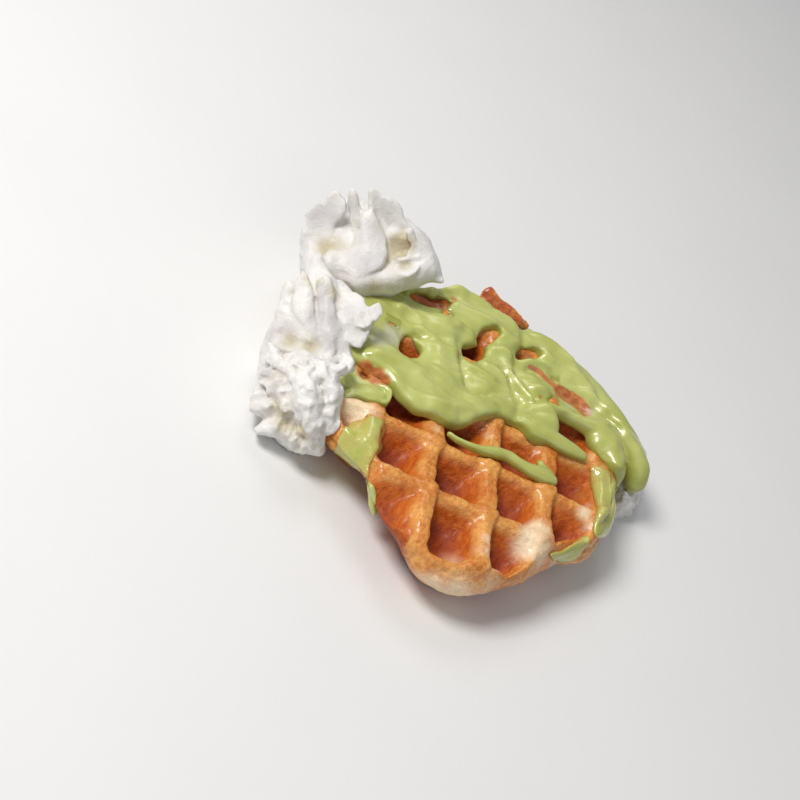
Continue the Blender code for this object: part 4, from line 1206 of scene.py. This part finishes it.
def all_cream(dough, mat):
    # the rosette: petals round a hollow, seen from above and in front
    view = View(449.0, (284, 172, -34), (462, 346, 30), 0.55)
    body = (
        ((342, 246, -6, 36, 9), (366, 248, -6, 40, 9.5), (394, 250, -7, 34, 9)),
        ((324, 220, -9, 16, 6), (350, 216, -10, 20, 6)),
        ((382, 216, -9, 14, 6), (392, 230, -8, 16, 6)),
        ((392, 236, -5, 13, 8), (405, 241, -5, 13, 8)),
        # the slope on the left, down behind the dollop below
        ((308, 232, -6, 7, 7), (309, 246, -5, 9, 8), (314, 260, -3, 12, 8), (324, 271, -1, 13, 8)),
        ((314, 268, -3, 12, 7), (320, 282, -4, 15, 7), (324, 292, -5, 14, 6)),
        # the band below the tongue, and its foot in the sauce
        ((334, 276, 1, 10, 6), (352, 279, 2, 12, 7), (372, 280, 2.5, 13, 7), (392, 278, 2, 13, 7),
         (408, 274, 0, 14, 7)),
        ((336, 286, -3, 5, 5), (362, 287, -3, 6, 5.5), (392, 286, -3, 6, 5.5), (414, 282, -4, 6, 5)),
        # the flank that falls off to the right
        ((412, 238, -5, 9, 6), (420, 250, -4, 11, 7.5), (427, 262, -3, 12, 8), (433, 273, -3, 9, 6.5),
         (439, 279, -4, 4.5, 3.6)),
        ((404, 268, -1, 14, 8), (418, 270, -2, 15, 8)),
    )
    runs = (
        # ragged lumps at the right
        ((399, 260, 5, 2.6, 2.4), (405, 259, 5.5, 3.2, 2.6), (412, 256, 5.5, 3.2, 2.6), (419, 257, 4, 3.2, 2.6)),
        ((401, 274, 6, 2.4, 2), (407, 276, 7, 3.2, 2.2), (413, 273, 6.5, 3.4, 2.4), (418, 267, 5.5, 3.2, 2.4)),
    )
    cuts = (
        ((322, 243, 9, 7, 6.5), (331, 248, 9.5, 10, 7), (340, 254, 10, 8, 6)),
        ((394, 243, 9, 8, 6), (403, 247, 9, 10, 6.5), (413, 250, 9.5, 8, 5.5)),
        ((402, 266, 9.5, 5, 3), (410, 266, 9.5, 4, 3)),
    )
    leaves = (
        # the big left leaf with its second lobe, and the strip behind the petal
        (((304, 214), (308, 207), (313, 203), (319, 200.5), (323, 201), (325, 204), (327, 199), (329, 194),
          (333, 191.5), (338, 191.5), (341, 195), (345, 199.5), (347, 207), (345, 216), (339, 221), (333, 227),
          (326, 234), (320, 238), (314, 241), (309, 247), (305, 257), (301, 256), (300, 243), (301, 231),
          (304, 228), (307, 224), (306, 218)), 322, 216, 2.6, 0.27, 0.16, 0.026, 3.2, 0.5, 0.55),
        (((330, 198), (337, 192), (341, 195), (346, 200), (350, 212), (352, 226), (353, 240), (347, 246), (340, 236),
          (334, 222), (330, 210)), 340, 216, -2.5, 0.30, -0.05, 0.0, 3.2, 0.5, 0.5),
        # the middle petal, sharp at the top
        (((347.5, 203), (348, 195), (351.3, 188), (354.6, 189.6), (358, 195), (360, 203), (362.5, 210), (361, 221),
          (359, 231), (355, 236), (352, 231), (349.5, 221), (348, 211)), 354.5, 212, 3.5, 0.30, 0.05, -0.20, 3.4,
         0.5, 0.4),
        # the second ridge, and the tongue it runs down into
        (((360, 217), (362, 209), (366, 211), (370, 209), (373, 210), (376, 218), (381, 228), (386, 238),
          (387, 248), (380, 254), (366, 253), (355, 250), (355, 238), (359, 230)), 369, 234, 5.5, -0.18, 0.04,
         -0.10, 4.6, 0.6, 0.5),
        (((340, 259), (347, 253), (356, 248), (368, 247), (380, 247), (387, 248), (387, 256), (384, 262),
          (379, 268), (369, 272), (359, 272.5), (349, 270), (340, 268), (336, 264.5)), 364, 259, 7.0, -0.30, 0.0,
         -0.040, 5.0, 0.6, 0.5),
        # the right leaf, and its inner side
        (((368, 206), (369, 197), (370, 189), (372, 188.5), (378, 190.5), (385, 195), (389, 195.5), (394, 199),
          (400, 204), (403, 211), (405.5, 217), (410, 226), (413, 233), (415, 240), (406, 239), (397, 236),
          (390, 236.5), (386, 239), (382, 228), (376, 217), (372, 209)), 388, 212, 1.4, 0.34, -0.15, 0.020, 3.2,
         0.5, 0.5),
        (((369, 190), (373, 189), (377, 200), (382, 213), (388, 226), (392, 238), (387, 241), (381, 229),
          (375, 216), (369, 206)), 378, 212, 2.0, 0.25, 0.28, 0.0, 2.8, 0.4, 0.4),
        # the flank's ragged upper edge
        (((410, 228), (415, 233), (420, 243), (427, 248), (433, 254), (437, 264), (439, 272), (444, 281),
          (436, 283), (428, 276), (419, 269), (411, 261), (406.5, 252), (409, 246), (407, 238)), 425, 256, 2.2, 0.10, -0.45, 0.0, 3.6, 0.6, 0.8),
    )

    def stem(x, y, z):
        """What the rosette stands on behind the rim, down to the level surface."""
        t = np.clip(z / 26.0, 0, 1)
        cx, cy = -31.5 - 4.0 * t, 61.0 - 0.5 * t
        a = np.arctan2(y - cy, x - cx)
        r = 13.0 + 1.5 * t + 1.5 * np.cos(7 * a + z * 0.16) + 0.9 * noise(x, y, z, 9, 130)
        r = r - 2.5 * ease(z, 5.0, 0.0)
        return smax(np.hypot(x - cx, y - cy) - r, z - 28, 5.0)

    # the warm and cool lists place painted shade on the cream
    make_cream("cream_rosette", "cream_top", view, runs, cuts, dough, mat, crisp=0.14, extra=stem, k=0.6, grainy=0.12, soften=1,
               body=body, leaves=leaves,
               warm_shade=((330, 251, 4, 6.0, 1.0), (338, 256, 5, 4.0, 0.9), (402, 245, 3, 5.5, 1.3),
                     (396, 250, 3, 4.5, 1.0), (405, 266, 5, 3.5, 0.9), (350, 284, 8, 5, 0.5),
                     (372, 287, 8, 6, 0.6), (392, 285, 7, 5, 0.5), (345, 289, 4, 5, 0.5),
                     (313, 276, 5, 4, 0.8), (356, 222, 4, 2.5, 0.5), (341, 232, 0, 4, 0.5),
                     (408, 284, 4, 4, 0.5), (384, 262, 3, 4, 0.6)),
               cool_shade=((322, 214, 4, 9, 0.7), (336, 204, 3, 7, 0.6), (305, 242, 2, 6, 0.5), (388, 208, 3, 7, 0.4),
                     (370, 236, 9, 7, 0.7), (364, 262, 10, 7, 0.8), (328, 280, 3, 6, 0.6), (402, 240, 3, 5, 0.8)))

    # the middle dollop: upright folds
    view = View(426.0, (246, 252, -24), (396, 400, 26), 0.48)
    runs = (
        ((306, 294, -6, 16, 9), (306, 318, -5, 25, 12), (306, 345, -4, 30, 13), (306, 366, -3, 34, 13)),
        ((290, 288, -3, 8, 6), (288, 300, -3, 9, 6), (284, 318, -3, 9, 7), (277, 334, -3, 10, 7), (270, 350, -2, 10, 7),
         (268, 368, -2, 11, 8)),
        ((338, 306, -4, 12, 7), (354, 311, -4, 11, 6), (366, 314, -4, 7, 4)),
        ((330, 332, -1, 16, 9), (340, 350, -1, 14, 8), (344, 368, 0, 11, 7)),
        ((280, 346, 2, 10, 6), (294, 352, 4, 10, 5), (312, 358, 5, 12, 5), (330, 362, 5, 10, 5)),
        ((284, 366, 5, 10, 6), (304, 372, 7, 12, 6), (326, 376, 7, 12, 6)),
        # up to the rosette behind
        ((316, 262, -16, 10, 7), (318, 274, -11, 13, 8), (322, 286, -6, 15, 8), (326, 298, -3, 15, 7)),
        ((336, 286, -10, 8, 6), (344, 296, -6, 10, 6)),
        ((334, 326, -1, 12, 8), (346, 328, -2, 12, 6), (354, 336, -2, 7, 4)),
        ((348, 320, -1, 9, 5), (362, 325, -2, 7, 4.5)),
    )
    cuts = (
        ((280, 338, 8, 4, 2.0), (290, 341, 9, 6, 2.6), (300, 343, 10, 4, 2.2), (310, 347, 10.5, 5, 2.6)),
    )
    leaves = (
        # from left to right
        (((284, 284), (288, 280), (293, 283), (293, 298), (291, 312), (285, 318), (277, 320), (274, 312),
          (279, 303), (280, 293)), 285, 301, 0.0, -0.15, 0.25, -0.03, 4.4, 0.6, 0.6),
        (((277, 322), (285, 316), (294, 318), (302, 328), (310, 338), (304, 346), (292, 345), (280, 343),
          (266, 340), (270, 330)), 288, 332, 2.0, -0.35, 0.15, -0.03, 4.4, 0.8, 0.5),
        (((293, 286), (297, 277), (302, 270), (306, 272), (311, 281), (314.5, 297), (316, 314), (318, 331),
          (317, 338), (311, 333), (300, 321), (292, 309)), 304, 303, 4.2, -0.30, 0.10, -0.10, 4.6, 0.5, 0.5),
        (((316, 283), (320, 278), (328, 275), (333, 283), (335, 298), (336, 316), (336.5, 334), (335, 350),
          (329, 359), (322, 352), (318, 338), (316, 315)), 326, 312, 4.0, -0.26, -0.06, -0.10, 4.6, 0.6, 0.45),
        (((335, 295), (344, 291), (354, 292), (362, 298), (366, 305), (372, 306), (377, 302), (379.5, 300.5),
          (381, 303), (383, 309), (384, 315.5), (380, 317), (378, 321), (372, 322), (366, 328), (352, 326),
          (342, 319), (336, 309)), 358, 309, 0.5, -0.50, -0.05, -0.022, 3.0, 0.4, 0.4, 0.3),
        (((334, 312), (348, 315), (362, 318), (374, 319), (372, 327), (368, 336), (364, 346), (362.5, 352.5),
          (359, 350), (352, 346), (345, 341), (338, 334), (334, 325)), 352, 330, 2.6, -0.35, -0.20, -0.03, 3.6, 0.4,
         0.4, 0.3),
        (((333, 334), (341, 341), (349, 350), (354, 360), (350, 366), (341, 360), (334, 350)), 342, 350, 3.5,
         -0.4, -0.05, -0.04, 4.0, 0.6, 0.6),
    )
    make_cream("cream_folds", "cream_middle", view, runs, cuts, dough, mat, crisp=0.2, k=0.8, leaves=leaves, grainy=0.35, soften=1,
               warm_shade=((290, 341, 6, 4.5, 0.8), (310, 348, 8, 4.5, 0.9), (314, 278, 4, 3.5, 0.9), (338, 290, 3, 4, 0.9),
                     (345, 284, 2, 4, 0.9), (276, 344, 3, 4, 0.4)),
               cool_shade=((326, 300, 5, 6, 0.8), (326, 318, 7, 7, 1.0), (328, 340, 7, 6, 0.9), (283, 334, 5, 7, 0.7), (272, 336, 3, 7, 0.7),
                     (350, 318, 2, 6, 0.6), (345, 330, 4, 5, 0.6), (340, 300, 3, 4, 0.5)))

    # the lower, ragged dollop
    view = View(413.0, (234, 334, -26), (366, 468, 24), 0.46)
    runs = (
        ((298, 384, -4, 33, 13), (298, 404, -4, 34, 14), (300, 422, -4, 30, 12)),
        ((268, 364, 0, 9, 6), (264, 376, 0, 8, 6)),
        ((276, 362, 1, 9, 6), (276, 376, 2, 10, 6), (280, 392, 3, 10, 6), (284, 410, 4, 10, 6)),
        ((266, 388, 1, 11, 6), (258, 396, 1, 7, 4.5), (253, 402, 0, 3.5, 3)),
        ((266, 408, 2, 11, 6), (257, 409, 1, 7, 4)),
        ((276, 426, 3, 11, 6), (264, 429, 2, 7, 4), (257, 431, 1, 3.5, 2.6)),
        # the front column
        ((300, 366, 5, 12, 6), (306, 384, 8, 15, 7), (308, 404, 9, 16, 7), (312, 424, 8, 15, 7), (314, 440, 5, 13, 6)),
        ((322, 372, 5, 14, 6), (330, 390, 6, 12, 6), (328, 410, 6, 13, 6), (330, 428, 5, 10, 6)),
        ((312, 371, 7, 7, 4.5), (324, 378, 7, 7, 4.5)),
        ((344, 362, 2, 7, 4.5), (350, 370, 1, 5, 3.6)),
        ((290, 434, 4, 10, 6), (304, 443, 4, 11, 5), (319, 448, 3, 8, 4)),
    )
    cuts = ()
    leaves = (
        # the crest that falls from the upper left, and lobes below it
        (((268, 345), (274, 346), (282, 355), (291, 363), (300, 369), (301, 378), (293, 382), (284, 374),
          (276, 364), (269, 354)), 284, 364, 6.5, -0.35, 0.15, -0.03, 3.6, 0.6, 0.8),
        (((251, 402), (250, 396), (257, 388), (262, 381), (270, 384), (279, 390), (281, 402), (276, 410),
          (266, 413), (257, 413), (252, 411)), 266, 398, 4.5, -0.35, 0.25, -0.03, 3.6, 0.6, 0.8),
        (((253, 429), (258, 423), (265, 417), (274, 410), (284, 407), (286, 414), (281, 424), (272, 433),
          (262, 433), (255, 433)), 270, 421, 5.0, -0.35, 0.25, -0.03, 3.6, 0.6, 0.8),
        # edges on the front column
        (((292, 362), (302, 359), (314, 361), (326, 359), (338, 360), (345, 368), (338, 376), (324, 377),
          (308, 376), (296, 372)), 318, 367, 8.0, -0.55, 0.0, -0.015, 3.4, 0.7, 1.0),
        (((322, 384), (334, 382), (344, 388), (342, 398), (340, 410), (342, 422), (342, 431), (334, 436),
          (326, 428), (322, 414), (320, 398)), 331, 408, 7.5, -0.1, -0.25, -0.05, 3.6, 0.6, 1.0),
        (((294, 392), (304, 389), (314, 396), (320, 410), (322, 426), (314, 434), (304, 424), (296, 408)),
         307, 410, 11.5, -0.15, 0.05, -0.06, 3.8, 0.7, 0.9),
        (((340, 356), (346, 353), (352, 358), (352, 366), (345, 374), (338, 370)), 346, 364, 4.0, -0.3, -0.1, 0.0,
         3.4, 0.5, 0.7),
    )
    make_cream("cream_mound", "cream_lower", view, runs, cuts, dough, mat, crisp=0.3, k=0.9, leaves=leaves, grainy=1.2, soften=2,
               warm_shade=((283, 410, 7, 5, 0.8), (286, 425, 7, 5, 0.8), (304, 430, 10, 4, 0.9), (280, 380, 6, 4, 0.6),
                     (264, 418, 3, 3, 0.5), (300, 440, 6, 4, 0.6)),
               cool_shade=((264, 370, 4, 7, 0.7), (270, 392, 6, 5, 0.4)))

    # the patch of cream below the far drip
    view = View(474.0, (590, 462, -22), (662, 532, 18), 0.5)
    runs = (
        ((628, 484, -2, 14, 7), (624, 498, -1, 13, 8), (618, 508, 0, 9, 6)),
        ((634, 490, 0, 8, 5), (628, 505, 1, 7, 4)),
        ((614, 512, 0, 6, 4), (609, 520, 0, 3, 2.4)),
        ((626, 510, 0, 6, 3), (628, 513, 0, 3, 2)),
        ((632, 480, -8, 14, 8), (630, 496, -8, 12, 8)),
    )
    make_cream("cream_patch", "cream_edge", view, runs, (), dough, mat, crisp=0.5, grainy=1.3)


# ---- the scene --------------------------------------------------------------------------------------
def aim(obj, place, target):
    z = np.array(place, float) - np.array(target, float)
    z /= np.linalg.norm(z)
    x = np.cross((0.0, 0.0, 1.0), z)
    x /= max(np.linalg.norm(x), 1e-9)
    y = np.cross(z, x)
    m = Matrix.Identity(4)
    for i in range(3):
        m[i][0], m[i][1], m[i][2], m[i][3] = x[i], y[i], z[i], place[i] * MM
    obj.matrix_world = m


def lamp(name, direction, distance, size, power, colour):
    data = bpy.data.lights.new(name, "AREA")
    data.shape = "DISK"
    data.size = size * MM
    data.energy = power
    data.color = colour
    obj = bpy.data.objects.new(name, data)
    bpy.context.scene.collection.objects.link(obj)
    target = np.array([10.0, 25.0, 12.0])
    d = np.array(direction, float)
    aim(obj, target + d / np.linalg.norm(d) * distance, target)
    return obj


def set_scene():
    scene = bpy.context.scene
    bpy.ops.mesh.primitive_plane_add(size=6.0)
    floor = bpy.context.active_object
    floor.name = "floor"
    floor.data.materials.append(floor_paint())

    cam = bpy.data.cameras.new("camera")
    cam.sensor_width, cam.sensor_height, cam.sensor_fit = 36.0, 36.0, "HORIZONTAL"
    cam.lens = 36.0 * FOCAL / 800.0
    cam.clip_start, cam.clip_end = 0.02, 20.0
    obj = bpy.data.objects.new("camera", cam)
    scene.collection.objects.link(obj)
    m = Matrix.Identity(4)
    for i in range(3):
        m[i][0], m[i][1], m[i][2], m[i][3] = RIGHT[i], UP[i], -AHEAD[i], EYE[i] * MM
    obj.matrix_world = m
    scene.camera = obj

    lamp("key", (-0.62, -0.10, 0.77), 900, 320, 6.2, (1.0, 0.98, 0.95))
    lamp("ceiling", (-0.25, 0.65, 0.9), 1000, 420, 1.5, (1.0, 0.98, 0.96))
    lamp("fill", (0.30, -0.9, 0.6), 1100, 700, 1.0, (0.97, 0.98, 1.0))
    world = bpy.data.worlds.new("studio")
    world.use_nodes = True
    world.node_tree.nodes["Background"].inputs["Color"].default_value = (0.96, 0.97, 1.0, 1.0)
    world.node_tree.nodes["Background"].inputs["Strength"].default_value = 0.27
    scene.world = world
    scene.view_settings.view_transform = "Standard"
    scene.view_settings.look = "None"
    scene.view_settings.exposure = 0.0


def make_all():
    set_scene()
    crust, sauce, glaze, cream = crust_paint(), sauce_paint(), glaze_paint(), cream_paint()
    dough = make_dough(crust)
    make_sauce(dough, sauce)
    make_left_sauce(dough, sauce)
    make_glaze(dough, "glaze_left", (-48, -32, 4), (-12, 4, 27),
               [(346, 424), (340, 434), (335, 445), (331, 454), (342, 461), (352, 467), (362, 472), (368, 477),
                (372, 468), (376, 458), (380, 449), (379, 438), (383, 426), (380, 417), (370, 414), (358, 418)],
               0.92, glaze, ragged=1.0, tone=0.4)
    make_glaze(dough, "glaze_beneath", (-34, -44, 1), (-6, -12, 20),
               [(364, 482), (371, 486), (374, 500), (376, 514), (370, 516), (365, 502)], 0.6, glaze,
               beads=[[(*at(369, 488, 14.5)[:2], 14.5, 0.5), (*at(371, 497, 12.5)[:2], 12.5, 0.9),
                       (*at(373, 505, 11)[:2], 11.0, 1.3), (*at(374, 513, 9.5)[:2], 9.5, 0.8)]])
    make_glaze(dough, "glaze_right", (44, -14, 2), (82, 30, 27),
               [(590, 466), (602, 466), (614, 474), (622, 490), (621, 505), (619, 518), (618, 529), (612, 539),
                (596, 538), (592, 526), (595, 514), (594, 504), (592, 494), (590, 480)], 1.2, glaze,
               beads=[[(*at(598, 530, 9)[:2], 9.0, 1.0), (*at(606, 530, 9)[:2], 9.0, 1.4)]], ragged=0.25, tone=0.45)
    make_glaze(dough, "glaze_front_right", (36, -24, 1), (74, 14, 25),
               [(588, 534), (590, 541), (584, 550), (576, 559), (566, 563), (555, 561), (551, 554), (562, 550),
                (572, 545), (580, 538)], 0.75, glaze, ragged=0.5, tone=0.35)
    all_cream(dough, cream)


make_all()
